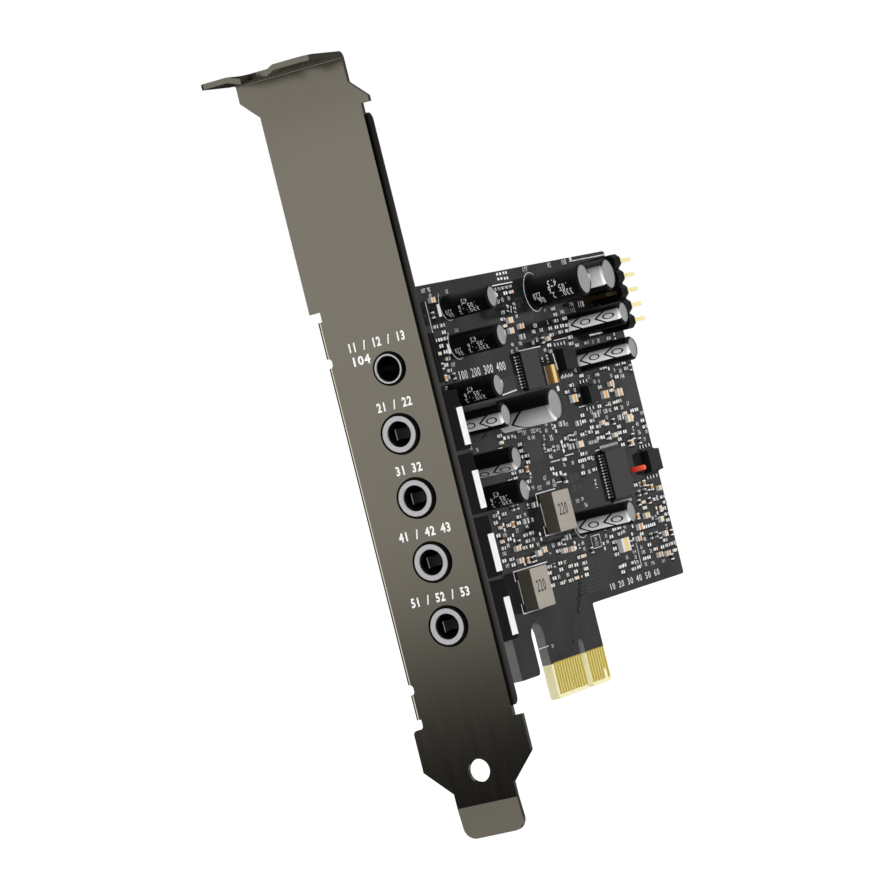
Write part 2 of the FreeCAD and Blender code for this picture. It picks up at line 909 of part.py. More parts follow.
def makeRing(number, y, z):
    mouth = sheetFront - S("barrel_stand")
    prefix = "top_ring" if number == 1 else "ring"
    outer = S(prefix + "_outer")
    inner = S(prefix + "_inner")
    body = newBody("jack_ring_%d" % number)
    sketch = bodySketch(body, "ring_section_%d" % number, "XY", 0)
    drawOutline(sketch, [(0, inner), (S("ring_depth"), inner), (S("ring_depth"), outer), (0, outer)])
    turn = body.newObject("PartDesign::Revolution", "ring_turned_%d" % number)
    turn.Profile = sketch
    turn.ReferenceAxis = (sketch, ["H_Axis"])
    turn.Angle = 360
    place(body, mouth, y, z)
    keep(body, "jack_ring_%d" % number)


# Pins under a jack, as shares of its housing's depth and width
jackPins = ((0.25, -0.3), (0.25, 0.3), (0.6, 0.3), (0.85, 0))


def makeJackContacts(number, y, z):
    """Folded plate over the rear of the housing, and the pins that go through the board."""
    front = sheetBack + S("jack_gap")
    rear = front + S("jack_depth")
    pinWide = S("jack_pin_width")
    thick = S("plate_thickness")
    reach = S("board_thickness") + S("jack_pin_reach")
    pieces = []
    if number != 1:
        high = face - S("jack_height")
        sketch = looseSketch("plate_fold_%d" % number, "XY")
        drawOutline(sketch, [
            (rear - S("plate_width"), high),
            (rear, high, thick),
            (rear, face),
            (rear - thick, face),
            (rear - thick, high + thick),
            (rear - S("plate_width"), high + thick),
        ])
        place(sketch, 0, 0, z - S("plate_drop") - S("plate_height") / 2)
        pieces.append(extrude("plate_%d" % number, sketch, S("plate_height")))
    for i, (along, aside) in enumerate(jackPins):
        pieces.append(box("jack_pin_%d_%d" % (number, i + 1), pinWide, reach, thick,
                          front + S("jack_depth") * along, face,
                          z + jackWidth(number) * aside - thick / 2))
    return pieces


def makeJacks():
    for number, y, z, radius in jackAxes():
        makeJack(number, y, z, radius)
    for number, y, z, radius in jackAxes():
        makeRing(number, y, z)
    for number, y, z, radius in jackAxes():
        keep(group("jack_contacts_%d" % number, makeJackContacts(number, y, z)),
             "jack_contacts_%d" % number)


# Electrolytic capacitors: a beaded can turned about its axis, with a shrunk sleeve round it
def canKinds():
    small = ("small_can", "short_can_height", "small_lead_pitch")
    tall = ("small_can", "tall_can_height", "small_lead_pitch")
    large = ("large_can", "large_can_height", "large_lead_pitch")
    kinds = {}
    for number in (1, 2, 3, 4, 5, 6):
        kinds[number] = small
    for number in (7, 8, 9):
        kinds[number] = large
    for number in (10, 11, 12):
        kinds[number] = tall
    return kinds


def makeCan(number, kind):
    wide, tall, pitch = kind
    x, z = spot("capacitor_%d" % number)
    outer = S(wide) / 2
    radius = outer - S("sleeve_wall")
    height = S(tall)
    rim = S("can_rim")
    body = newBody("capacitor_can_%d" % number)
    sketch = bodySketch(body, "can_section_%d" % number, "XY", 0)
    drawOutline(sketch, [
        (0, 0),
        (radius, 0),
        (radius, rim - height),
        (radius - rim, -height),
        (0, -height),
    ])
    turn = body.newObject("PartDesign::Revolution", "can_turned_%d" % number)
    turn.Profile = sketch
    turn.ReferenceAxis = (sketch, ["V_Axis"])
    turn.Angle = 360
    place(body, x, face, z)
    keep(body, "capacitor_can_%d" % number)


def makeSleeve(number, kind):
    wide, tall, pitch = kind
    x, z = spot("capacitor_%d" % number)
    outer = S(wide) / 2
    wall = S("sleeve_wall")
    rim = S("can_rim")
    top = -S(tall)
    inner = outer - wall
    body = newBody("capacitor_sleeve_%d" % number)
    sketch = bodySketch(body, "sleeve_section_%d" % number, "XY", 0)
    drawOutline(sketch, [
        (inner, 0),
        (outer, 0),
        (outer, top + rim),
        (inner - rim, top - wall),
        (inner - rim, top),
        (inner, top + rim),
    ])
    turn = body.newObject("PartDesign::Revolution", "sleeve_turned_%d" % number)
    turn.Profile = sketch
    turn.ReferenceAxis = (sketch, ["V_Axis"])
    turn.Angle = 360
    place(body, x, face, z)
    keep(body, "capacitor_sleeve_%d" % number)


def makeCapacitors():
    kinds = canKinds()
    for number in sorted(kinds):
        makeCan(number, kinds[number])
    for number in sorted(kinds):
        makeSleeve(number, kinds[number])
    leads = []
    reach = S("board_thickness") + S("can_lead_reach")
    for number in sorted(kinds):
        x, z = spot("capacitor_%d" % number)
        for side in (-1, 1):
            shift = S(kinds[number][2]) / 2 * side
            leads.append(prism("can_lead_%d_%d" % (number, side + 1), 8, S("can_lead_radius"), reach,
                               x + shift, face, z, "Y"))
    keep(group("capacitor_leads", leads), "capacitor_leads")


# Inductors: square moulded blocks with rounded corners over two soldered feet
def makeInductor(number):
    x, z = spot("inductor_%d" % number)
    half = S("inductor_length") / 2
    foot = S("inductor_foot_thickness")
    corner = S("inductor_corner")
    body = newBody("inductor_block_%d" % number)
    sketch = bodySketch(body, "inductor_outline_%d" % number, "XZ", foot)
    drawOutline(sketch, [(-half, -half, corner), (half, -half, corner),
                         (half, half, corner), (-half, half, corner)])
    addPad(body, "inductor_pad_%d" % number, sketch, S("inductor_height") - foot)
    place(body, x, face, z)
    keep(body, "inductor_block_%d" % number)


def makeInductors():
    feet = []
    half = S("inductor_length") / 2
    for number in (1, 2):
        makeInductor(number)
        x, z = spot("inductor_%d" % number)
        for side, start in ((1, -half), (2, half - S("inductor_foot"))):
            feet.append(box("inductor_foot_%d_%d" % (number, side), S("inductor_foot"),
                            S("inductor_foot_thickness"), S("inductor_foot_width"),
                            x + start, face - S("inductor_foot_thickness"),
                            z - S("inductor_foot_width") / 2))
    keep(group("inductor_feet", feet), "inductor_feet")


# Chips: moulded bodies tapered up and down from the parting line, over gull-wing leads
def mouldedBody(name, length, width, height):
    x, z = spot(name)
    middle = S("chip_standoff") + (height - S("chip_standoff")) / 2
    body = newBody(name + "_body")
    halfLength = length / 2
    halfWidth = width / 2
    corners = [(-halfLength, -halfWidth), (halfLength, -halfWidth),
               (halfLength, halfWidth), (-halfLength, halfWidth)]
    for part, down in (("upper", False), ("lower", True)):
        sketch = bodySketch(body, "%s_%s" % (name, part), "XZ", middle)
        drawOutline(sketch, corners)
        addPad(body, "%s_%s_pad" % (name, part), sketch, height - middle, S("chip_taper"), down)
    dot = bodySketch(body, name + "_dot", "XZ", height)
    inset = width * S("chip_dot_inset") / 2
    drawCircle(dot, halfWidth - inset - halfLength, halfWidth - inset, S("chip_dot_radius"))
    pocket = body.newObject("PartDesign::Pocket", name + "_dot_cut")
    pocket.Profile = dot
    bind(pocket, "Length", S("chip_dot_depth"))
    place(body, x, face, z)
    return body


def gullWing(width, reach, shoulder, thick):
    """One lead: down from the chip's side at X = 0 to a flat foot on the board, which is on the +Y side."""
    knee = S("lead_knee").value * reach
    points = [V(0, 0, 0), V(knee, shoulder - thick, 0), V(reach, shoulder - thick, 0),
              V(reach, shoulder, 0), V(knee - thick, shoulder, 0), V(0, thick, 0)]
    wire = Part.makePolygon(points + [points[0]])
    lead = Part.Face(wire).extrude(V(0, 0, width))
    lead.translate(V(0, 0, -width / 2))
    return lead


def leadRows(name, halfLength, halfWidth, sides, count, pitch, width, reach, height):
    """Leads along the chosen sides of a chip: its ends (along X) or its long sides (along Z)."""
    x, z = spot(name)
    shoulder = (height - S("chip_standoff")).value / 2 + S("chip_standoff").value
    thick = S("lead_thickness").value
    top = V(x.value, face.value - shoulder - thick / 2, z.value)
    leads = []
    for angle in sides:
        out = halfLength.value if angle in (0, 180) else halfWidth.value
        for i in range(count):
            lead = gullWing(width.value, reach.value, shoulder + thick / 2, thick)
            lead.translate(V(out, 0, (i - (count - 1) / 2) * pitch.value))
            lead.rotate(V(0, 0, 0), V(0, 1, 0), angle)
            lead.translate(top)
            leads.append(lead)
    return leads


def keepShapes(name, shapes):
    feature = doc.addObject("Part::Feature", name)
    feature.Shape = Part.makeCompound(shapes)
    keep(feature, name)


def makeChips():
    side = S("processor_side")
    tall = S("processor_height")
    keep(mouldedBody("processor", side, side, tall), "processor_body")
    keep(mouldedBody("converter", S("converter_length"), S("converter_width"), tall),
         "converter_body")
    length = S("amplifier_length")
    width = S("amplifier_width")
    both = [mouldedBody(name, length, width, S("amplifier_height"))
            for name in ("amplifier_a", "amplifier_b")]
    keep(group("amplifier_bodies", both), "amplifier_bodies")
    keep(mouldedBody("regulator", S("regulator_length"), S("regulator_width"),
                     S("regulator_height")), "regulator_body")
    fine = (S("fine_pitch"), S("fine_lead_width"), S("fine_lead_reach"), tall)
    coarse = (S("coarse_pitch"), S("coarse_lead_width"), S("coarse_lead_reach"))
    keepShapes("processor_leads", leadRows("processor", side / 2, side / 2, (0, 90, 180, 270), 15, *fine))
    keepShapes("converter_leads", leadRows("converter", S("converter_length") / 2,
                                           S("converter_width") / 2, (0, 180), 11, *fine))
    small = []
    for name in ("amplifier_a", "amplifier_b"):
        small += leadRows(name, length / 2, width / 2, (90, 270), 4, *coarse, S("amplifier_height"))
    small += leadRows("regulator", S("regulator_length") / 2, S("regulator_width") / 2, (90, 270), 3,
                      *coarse, S("regulator_height"))
    keepShapes("small_chip_leads", small)


# Pin header: five double cells on their side, with bent pins that point away from the bracket
def makeHeader():
    pitch = S("header_pitch")
    cham = S("header_chamfer")
    x = S("header_x")
    z = S("header_z")
    tall = pitch * 2
    body = newBody("header_block")
    sketch = bodySketch(body, "header_outline", "YZ", 0)
    corners = []
    for side in (0, 1):
        for i in range(5):
            cell = i if side == 0 else 4 - i
            low = pitch * (cell - 2.5)
            high = low + pitch
            if side == 0:
                corners += [(-cham, low), (0, low + cham), (0, high - cham)]
            else:
                corners += [(cham - tall, high), (-tall, high - cham), (-tall, low + cham)]
        corners.append((-cham, pitch * 2.5) if side == 0 else (cham - tall, pitch * -2.5))
    drawOutline(sketch, corners)
    addPad(body, "header_pad", sketch, pitch)
    place(body, x, face, z)
    holes = []
    pins = []
    half = S("pin_side").value / 2
    for column in (0, 1):
        for i in range(5):
            up = z.value + pitch.value * (i - 2)
            out = face.value - pitch.value * (column + 0.5)
            pins.append(bentPin(column, out, up, half))
    for column in (0, 1):
        for i in range(5):
            holes.append(box("pin_way_%d_%d" % (column, i), pitch, S("pin_side"), S("pin_side"),
                             x, face - pitch * (column + 0.5) - S("pin_side") / 2,
                             z + pitch * (i - 2) - S("pin_side") / 2))
    base = cut("header_base_cut", body, fuse("pin_ways", holes))
    keep(base, "header_base")
    keepShapes("header_pins", pins)


def bentPin(column, out, up, half):
    """Square pin: through the board, up behind the base, then out through it."""
    x0 = S("header_x").value
    pitch = S("header_pitch").value
    down = x0 - S("pin_setback").value - pitch * column
    end = x0 + pitch + S("pin_length").value
    foot = back.value + S("pin_reach").value
    points = [V(down - half, foot, up), V(down + half, foot, up), V(down + half, out + half, up),
              V(end, out + half, up), V(end, out - half, up), V(down - half, out - half, up)]
    pin_ = Part.Face(Part.makePolygon(points + [points[0]])).extrude(V(0, 0, 2 * half))
    pin_.translate(V(0, 0, -half))
    return pin_


# Screws that hold the board to the bracket's two ears
def makeScrews():
    screws = []
    reach = S("board_thickness") + S("sheet_thickness")
    for i, up in enumerate(screwHeights()):
        shank = cylinder("screw_shank_%d" % (i + 1), S("screw_radius"), reach, screwX(), face, up, "Y")
        head = cylinder("screw_head_%d" % (i + 1), S("screw_head_radius"), S("screw_head_height"),
                        screwX(), face - S("screw_head_height"), up, "Y")
        drive = prism("screw_drive_%d" % (i + 1), 6, S("screw_drive_radius"), S("screw_drive_depth"),
                      screwX(), face - S("screw_head_height"), up, "Y")
        solid = fuse("screw_solid_%d" % (i + 1), [shank, head])
        screws.append(cut("screw_%d" % (i + 1), solid, drive))
    keep(group("bracket_screws", screws), "bracket_screws")


# Small soldered parts: X, Z, length, width, and 1 where the length runs up the board
chipCapacitors = [
    (-23.4, 66.0, 1.6, 0.8, 0), (2.8, 60.4, 1.6, 0.9, 0), (2.2, 58.7, 1.6, 0.9, 0),
    (6.3, 59.1, 1.6, 0.8, 0), (15.4, 56.2, 1.2, 0.7, 0), (19.6, 45.7, 2.0, 1.25, 0),
    (32.0, 45.1, 2.0, 1.25, 0), (35.4, 46.6, 1.6, 0.8, 0), (37.8, 44.9, 2.0, 1.25, 0),
    (39.2, 40.3, 2.0, 1.25, 0), (28.3, 40.7, 1.2, 0.7, 0), (32.0, 38.2, 1.2, 0.7, 0),
    (17.6, 38.2, 1.8, 1.0, 0), (-15.0, 24.8, 1.6, 0.8, 0), (-15.0, 22.8, 1.6, 0.8, 0),
    (-7.8, 23.1, 1.4, 0.9, 0), (-5.6, 23.4, 1.4, 0.9, 0), (1.9, 22.3, 1.4, 0.8, 0),
    (4.8, 22.2, 1.4, 0.8, 0), (36.6, 23.9, 1.8, 0.9, 0), (32.8, 22.4, 1.8, 1.0, 0),
    (31.2, 20.6, 1.4, 0.8, 0), (42.0, 22.6, 1.2, 0.9, 0), (42.3, 20.1, 1.2, 0.9, 0),
    (44.3, 27.7, 1.2, 0.8, 0), (38.0, 17.0, 1.6, 0.8, 0), (41.2, 16.8, 1.6, 0.8, 0),
]
chipResistors = [
    (6.1, 57.4, 1.6, 0.8, 0), (19.2, 41.6, 1.6, 0.8, 0), (-4.6, 30.7, 1.6, 0.8, 0),
    (4.5, 24.2, 1.6, 0.8, 0), (12.8, 42.2, 1.6, 0.8, 0), (26.8, 42.2, 1.6, 0.8, 0),
    (36.2, 40.8, 1.6, 0.8, 0), (-12.9, 31.2, 1.0, 0.5, 1), (-11.2, 31.2, 1.0, 0.5, 1),
    (-9.4, 28.6, 1.6, 0.8, 0), (36.0, 27.8, 1.0, 0.5, 1), (38.6, 27.8, 1.0, 0.5, 1),
    (36.6, 20.4, 1.0, 0.5, 1), (38.8, 20.4, 1.0, 0.5, 1), (14.2, 38.2, 1.6, 0.8, 0),
    (22.0, 38.0, 1.0, 0.5, 0), (24.2, 38.0, 1.0, 0.5, 0), (9.0, 33.5, 1.6, 0.8, 1),
]

# Moulded capacitors: name in the layout, length, width, height
mouldedParts = [("tantalum_a", 2.4, 3.0, 1.0), ("tantalum_b", 3.2, 2.2, 0.8)]


def smallPart(x, z, length, width, height, upright):
    """Body and its two wrapped ends, on the board's component face."""
    share = S("chip_cap_share").value * length
    wrap = S("terminal_wrap").value
    body = Part.makeBox(length - 2 * share, height, width)
    body.translate(V(-length / 2 + share, -height, -width / 2))
    ends = []
    for start in (-length / 2, length / 2 - share):
        end = Part.makeBox(share, height + wrap, width + 2 * wrap)
        end.translate(V(start, -height - wrap, -width / 2 - wrap))
        ends.append(end)
    for piece in [body] + ends:
        if upright:
            piece.rotate(V(0, 0, 0), V(0, 1, 0), 90)
        piece.translate(V(x, face.value, z))
    return body, ends


def makeSmallParts():
    tall = S("chip_part_height").value
    terminals = []
    for name, rows in (("chip_capacitors", chipCapacitors), ("chip_resistors", chipResistors)):
        bodies = []
        height = tall if name == "chip_capacitors" else S("chip_resistor_height").value
        for x, z, length, width, upright in rows:
            body, ends = smallPart(x, z, length, width, height, upright)
            bodies.append(body)
            terminals += ends
        keepShapes(name, bodies)
    blocks = []
    for name, length, width, height in mouldedParts:
        x, z = spot(name)
        body, ends = smallPart(x.value, z.value, length, width, height, 0)
        blocks.append(body)
        terminals += ends
    keepShapes("moulded_capacitors", blocks)
    keepShapes("chip_terminals", terminals)


makeBracket()
makeContacts()
makeJacks()
makeCapacitors()
makeInductors()
makeChips()
makeHeader()
makeScrews()
makeSmallParts()
through = ("jack_contacts", "capacitor_leads", "header_pins")
makeBoard([thing for thing in nodes if thing.Label.startswith(through)])
doc.recompute()

for thing in doc.Objects:
    if "Invalid" in thing.State or "Error" in thing.State:
        raise RuntimeError("%s: %s" % (thing.Name, thing.State))
for thing in nodes:
    shape = thing.Shape
    if shape.isNull() or not shape.isValid() or not shape.Solids:
        raise RuntimeError("%s has no valid solid" % thing.Label)

os.makedirs("parts", exist_ok=True)
for thing in nodes:
    thing.Shape.exportStep("parts/%s.step" % thing.Label)
print(len(nodes), "parts written")
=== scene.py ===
import bpy
import math
import random
from mathutils import Matrix, Vector


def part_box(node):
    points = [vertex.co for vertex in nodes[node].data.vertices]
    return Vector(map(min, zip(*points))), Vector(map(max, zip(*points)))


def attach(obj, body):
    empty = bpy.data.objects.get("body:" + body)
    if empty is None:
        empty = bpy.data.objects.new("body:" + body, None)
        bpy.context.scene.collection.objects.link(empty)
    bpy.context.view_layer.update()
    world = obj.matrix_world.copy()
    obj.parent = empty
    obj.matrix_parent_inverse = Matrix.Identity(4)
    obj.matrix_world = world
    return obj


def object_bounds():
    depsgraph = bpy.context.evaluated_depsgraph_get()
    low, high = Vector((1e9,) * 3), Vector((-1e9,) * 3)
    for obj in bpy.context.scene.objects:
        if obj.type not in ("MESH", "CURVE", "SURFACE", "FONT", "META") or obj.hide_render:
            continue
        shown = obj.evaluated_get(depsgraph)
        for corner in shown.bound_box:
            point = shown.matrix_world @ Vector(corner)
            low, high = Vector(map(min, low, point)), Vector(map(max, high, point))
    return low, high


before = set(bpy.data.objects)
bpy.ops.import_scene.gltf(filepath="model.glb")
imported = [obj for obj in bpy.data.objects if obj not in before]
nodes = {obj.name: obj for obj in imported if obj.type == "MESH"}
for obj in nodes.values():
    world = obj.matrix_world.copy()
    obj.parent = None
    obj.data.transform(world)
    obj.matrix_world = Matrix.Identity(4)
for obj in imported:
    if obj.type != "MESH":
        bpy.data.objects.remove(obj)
cadLow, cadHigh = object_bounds()
mm = 0.001

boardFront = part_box("circuit_board")[0].y  # face that carries the parts
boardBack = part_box("circuit_board")[1].y
plateFace = -59.05 * mm  # outer face of the bracket
bpy.context.scene.view_settings.view_transform = "Standard"


# Shader maths on sockets
class Wire:
    def __init__(self, finish, socket):
        self.finish = finish
        self.socket = socket

    def maths(self, operation, left, right=0.0):
        return self.finish.add("ShaderNodeMath", {"operation": operation}, {0: left, 1: right})

    def __add__(self, other):
        return self.maths("ADD", self, other)

    def __radd__(self, other):
        return self.maths("ADD", other, self)

    def __sub__(self, other):
        return self.maths("SUBTRACT", self, other)

    def __rsub__(self, other):
        return self.maths("SUBTRACT", other, self)

    def __mul__(self, other):
        return self.maths("MULTIPLY", self, other)

    def __rmul__(self, other):
        return self.maths("MULTIPLY", other, self)

    def __truediv__(self, other):
        return self.maths("DIVIDE", self, other)

    def __abs__(self):
        return self.maths("ABSOLUTE", self)

    def __lt__(self, other):
        return self.maths("LESS_THAN", self, other)

    def __gt__(self, other):
        return self.maths("GREATER_THAN", self, other)

    def within(self, low, high):
        return (self > low) * (self < high)

    def root(self):
        return self.maths("SQRT", self)

    def angleTo(self, other):
        return self.maths("ARCTAN2", self, other)

    def larger(self, other):
        return self.maths("MAXIMUM", self, other)


class Finish:
    def __init__(self, name, tree=None):
        if tree is None:
            self.material = bpy.data.materials.new(name)
            self.material.use_nodes = True
            tree = self.material.node_tree
        self.tree = tree
        self.shader = tree.nodes.get("Principled BSDF")

    def plug(self, socket, value):
        if isinstance(value, Wire):
            self.tree.links.new(value.socket, socket)
        else:
            socket.default_value = value

    def add(self, kind, settings=None, inputs=None, output=0):
        node = self.tree.nodes.new(kind)
        for name, value in (settings or {}).items():
            if name == "stops":
                stops = node.color_ramp.elements
                stops.remove(stops[-1])
                stops[0].position, stops[0].color = value[0]
                for place, shade in value[1:]:
                    stops.new(place).color = shade
            else:
                setattr(node, name, value)
        for name, value in (inputs or {}).items():
            self.plug(node.inputs[name], value)
        return Wire(self, node.outputs[output])

    def set(self, **values):
        for name, value in values.items():
            self.plug(self.shader.inputs[socketNames[name]], value)
        return self

    def point(self):
        return self.add("ShaderNodeTexCoord", output="Object")

    def split(self, vector):
        parts = self.tree.nodes.new("ShaderNodeSeparateXYZ")
        self.plug(parts.inputs[0], vector)
        return [Wire(self, socket) for socket in parts.outputs]

    def noise(self, scale, detail=2.0, stretch=None):
        point = self.point()
        if stretch:
            point = self.add("ShaderNodeVectorMath", {"operation": "MULTIPLY"}, {0: point, 1: stretch})
        return self.add("ShaderNodeTexNoise", None, {"Vector": point, "Scale": scale, "Detail": detail})

    def blend(self, mask, first, second):
        settings = {"data_type": "RGBA"}
        return self.add("ShaderNodeMix", settings, {0: mask, 6: first, 7: second}, 2)

    def ramp(self, value, low, high):
        return self.add("ShaderNodeMapRange", None, {0: value, 1: low, 2: high})

    def frontness(self):
        # 1 on a face that looks away from the board, 0 on its sides
        return self.split(self.add("ShaderNodeTexCoord", output="Normal"))[1] < -0.85

    def bump(self, height, distance, strength):
        inputs = {"Height": height, "Distance": distance, "Strength": strength}
        return self.set(normal=self.add("ShaderNodeBump", None, inputs))


socketNames = {
    "color": "Base Color", "roughness": "Roughness", "metallic": "Metallic", "normal": "Normal",
    "specular": "Specular IOR Level",
}


def tone(red, green, blue):
    # display colour, 0 to 255, as the shader's linear colour
    def linear(value):
        value = value / 255
        if value <= 0.04045:
            return value / 12.92
        return ((value + 0.055) / 1.055) ** 2.4
    return (linear(red), linear(green), linear(blue), 1.0)


def grey(level):
    return (level, level, level, 1)


# Finishes
finishes = {}


def blackNickel():
    look = {"plate": (0.213, 0.196, 0.158, 1), "dim": (0.192, 0.177, 0.143, 1), "gloss": 0.075,
            # bend and lip are painted shade colours for the right lip's outer face
            "bend": (0.01, 0.01, 0.009, 1), "lip": (0.09, 0.085, 0.07, 1), "haze": 0.12}
    reach = {"lipDepth": 1.8 * mm, "lipStart": -58.6 * mm, "lipShade": (-57.8 * mm, -56.2 * mm),
             "lipHeight": (2.8 * mm, 94.6 * mm), "haze": (88 * mm, 99 * mm)}
    finish = Finish("black_nickel")
    x, y, z = finish.split(finish.point())
    cloud = finish.noise(45.0, 4.0)
    grain = finish.noise(900.0, 2.0, (1.0, 1.0, 0.12))  # faint rolling marks along the sheet
    # painted shade: the right lip's outer face is coloured darker than the plate face, and darkest at its
    # bend
    paintedLipShadeMask = (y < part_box("bracket")[0].y + reach["lipDepth"]) * (x > reach["lipStart"])
    paintedLipShadeMask = paintedLipShadeMask * z.within(*reach["lipHeight"])
    lip = finish.blend(finish.ramp(x, *reach["lipShade"]), look["bend"], look["lip"])
    sheet = finish.blend(cloud, look["plate"], look["dim"])
    haze = finish.ramp(z, *reach["haze"]) * look["haze"]  # the bent top is duller than the long face
    finish.set(color=finish.blend(paintedLipShadeMask, sheet, lip), metallic=1.0)
    finish.set(roughness=look["gloss"] + haze + (grain - 0.5) * 0.03 + (cloud - 0.5) * 0.02)
    return finish.bump(grain, 0.000002, 0.05)


def solderMask():
    look = {"bare": tone(24, 24, 25), "pour": tone(35, 35, 36), "paintedShade": tone(14, 14, 15),
            "edge": (tone(96, 96, 96), tone(118, 118, 116)), "laminate": tone(228, 222, 178),
            "weave": 1.3 * mm, "gloss": 0.07}
    tongue = {"top": 5.6 * mm, "sides": (-12.7 * mm, 8.3 * mm)}  # bare laminate round the contacts
    finish = Finish("solder_mask")
    x, y, z = finish.split(finish.point())
    cloud = finish.noise(130.0, 3.0)
    weave = [finish.add("ShaderNodeTexWave", {"wave_type": "BANDS", "bands_direction": way},
                        {"Vector": finish.point(), "Scale": 0.32 / look["weave"], "Distortion": 0.4})
             for way in "XZ"]
    onFront = y < 0.0
    onEdge = y.within(boardFront + 0.02 * mm, boardBack - 0.02 * mm)
    bareTongue = (z < tongue["top"]) * x.within(*tongue["sides"])
    cover = finish.ramp(cloud, 0.4, 0.6) * (0.35 + 0.65 * onFront)
    # painted shade: near-black patches scattered by noise over the front stand in for the shade round the
    # parts
    paintedShade = finish.ramp(finish.noise(75.0, 4.0), 0.56, 0.68) * onFront
    face = finish.blend(paintedShade, finish.blend(cover, look["bare"], look["pour"]), look["paintedShade"])
    face = finish.blend(onEdge, face, finish.blend(finish.noise(400.0), *look["edge"]))
    finish.set(color=finish.blend(bareTongue, face, look["laminate"]), specular=0.2)
    finish.set(roughness=look["gloss"] + cloud * 0.05 + onEdge.larger(bareTongue) * 0.4)
    return finish.bump(weave[0] * 0.5 + weave[1] * 0.5, 0.000002, 0.06)


def copperUnderMask():
    finish = Finish("masked_copper")
    cloud = finish.noise(90.0, 3.0)
    finish.set(color=finish.blend(cloud, tone(42, 42, 43), tone(50, 50, 51)))
    return finish.set(roughness=0.16 + cloud * 0.08, specular=0.2)


def goldPlate():
    finish = Finish("gold_plate")
    rub = finish.noise(1200.0, 3.0, (1.0, 1.0, 0.08))  # insertion marks run along the contacts
    finish.set(color=finish.blend(rub, (0.68, 0.52, 0.05, 1), (0.58, 0.44, 0.05, 1)), metallic=0.5)
    finish.set(roughness=0.26 + rub * 0.14)
    return finish.bump(rub, 0.000002, 0.3)


def moulding(name, dark, light, gloss, grainScale, specular=0.5):
    finish = Finish(name)
    grain = finish.noise(grainScale, 4.0)
    finish.set(color=finish.blend(finish.noise(120.0), dark, light), specular=specular)
    finish.set(roughness=gloss + (grain - 0.5) * 0.12)
    return finish.bump(grain, 0.00002, 0.25)


def chipResin(name, dark, light):
    # the top is matt; its lighter colour is painted light, and the sides are painted darker as shade
    finish = Finish(name)
    grain = finish.noise(6000.0, 4.0)
    paintedLitLid = finish.blend(grain, tone(dark, dark, dark), tone(light, light, light))
    finish.set(color=finish.blend(finish.frontness(), tone(14, 14, 14), paintedLitLid), specular=0.1)
    finish.set(roughness=0.5 + (grain - 0.5) * 0.12)
    return finish.bump(grain, 0.00002, 0.25)


def ferriteBlock():
    # painted light: the face is coloured pale as lit and the sides darker as shaded; the block is one
    # ferrite colour
    finish = Finish("ferrite_block")
    grain = finish.noise(1800.0, 4.0)
    side = finish.blend(grain, tone(76, 70, 62), tone(66, 61, 54))
    face = finish.blend(grain, tone(158, 152, 142), tone(146, 140, 130))
    finish.set(color=finish.blend(finish.frontness(), side, face), specular=0.2)
    finish.set(roughness=0.55 + (grain - 0.5) * 0.15)
    return finish.bump(grain, 0.00002, 0.3)


def metal(name, bright, dull, gloss, metallic=1.0):
    finish = Finish(name)
    brushed = finish.noise(1500.0)
    finish.set(color=finish.blend(finish.noise(200.0, 3.0), bright, dull), metallic=metallic)
    finish.set(roughness=gloss + (brushed - 0.5) * 0.1)
    return finish.bump(brushed, 0.000003, 0.25)


def formedLead():
    # the leads' flats keep the bright tin colour; their bends and sides are painted near black as shade
    finish = Finish("formed_lead")
    grain = finish.noise(1500.0)
    flat = finish.blend(grain, (0.86, 0.86, 0.85, 1), (0.76, 0.76, 0.75, 1))
    finish.set(color=finish.blend(finish.frontness(), grey(0.045), flat), metallic=0.3)
    return finish.set(roughness=0.35 + (grain - 0.5) * 0.1)


def headerGold():
    # plated bright where the pins stand out of the block; behind it they are painted near black as shade
    finish = Finish("header_gold")
    out = finish.split(finish.point())[0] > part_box("header_base")[1].x
    rub = finish.noise(1200.0, 2.0, (0.1, 1.0, 1.0))
    bright = finish.blend(rub, (0.92, 0.83, 0.46, 1), (0.82, 0.72, 0.32, 1))
    finish.set(color=finish.blend(out, (0.022, 0.014, 0.005, 1), bright), metallic=0.2)
    return finish.set(roughness=0.3 + rub * 0.1, specular=0.15)


def chipTerminal():
    # tinned ends, and the gilt frame of the larger moulded capacitors
    framed = {"x": (10.5 * mm, 18 * mm), "z": (48 * mm, 54 * mm), "rise": 0.15 * mm}
    finish = Finish("chip_terminal")
    x, y, z = finish.split(finish.point())
    grain = finish.noise(1800.0)
    tin = finish.blend(grain, (0.86, 0.86, 0.85, 1), (0.74, 0.74, 0.73, 1))
    # painted shade: the tin is coloured darker on the ends' sides than on their faces
    tin = finish.blend(finish.frontness(), (0.52, 0.52, 0.51, 1), tin)
    gilt = finish.blend(grain, tone(150, 112, 58), tone(116, 82, 40))
    onFrame = (y < boardFront - framed["rise"]) * x.within(*framed["x"]) * z.within(*framed["z"])
    finish.set(color=finish.blend(onFrame, tin, gilt), metallic=0.25)
    return finish.set(roughness=0.35 + (grain - 0.5) * 0.1)


def contactPlate():
    finish = Finish("contact_plate")
    brushed = finish.noise(1500.0, 2.0, (1, 0.2, 1))
    finish.set(color=finish.blend(brushed, tone(240, 240, 238), tone(226, 226, 226)), metallic=0.1)
    return finish.set(roughness=0.35 + (brushed - 0.5) * 0.1)


def printedWhite():
    finish = Finish("printed_white")
    speck = finish.noise(2500.0)
    finish.set(color=finish.blend(speck, tone(232, 232, 230), tone(206, 206, 205)))
    return finish.set(roughness=0.55 + (speck - 0.5) * 0.2)


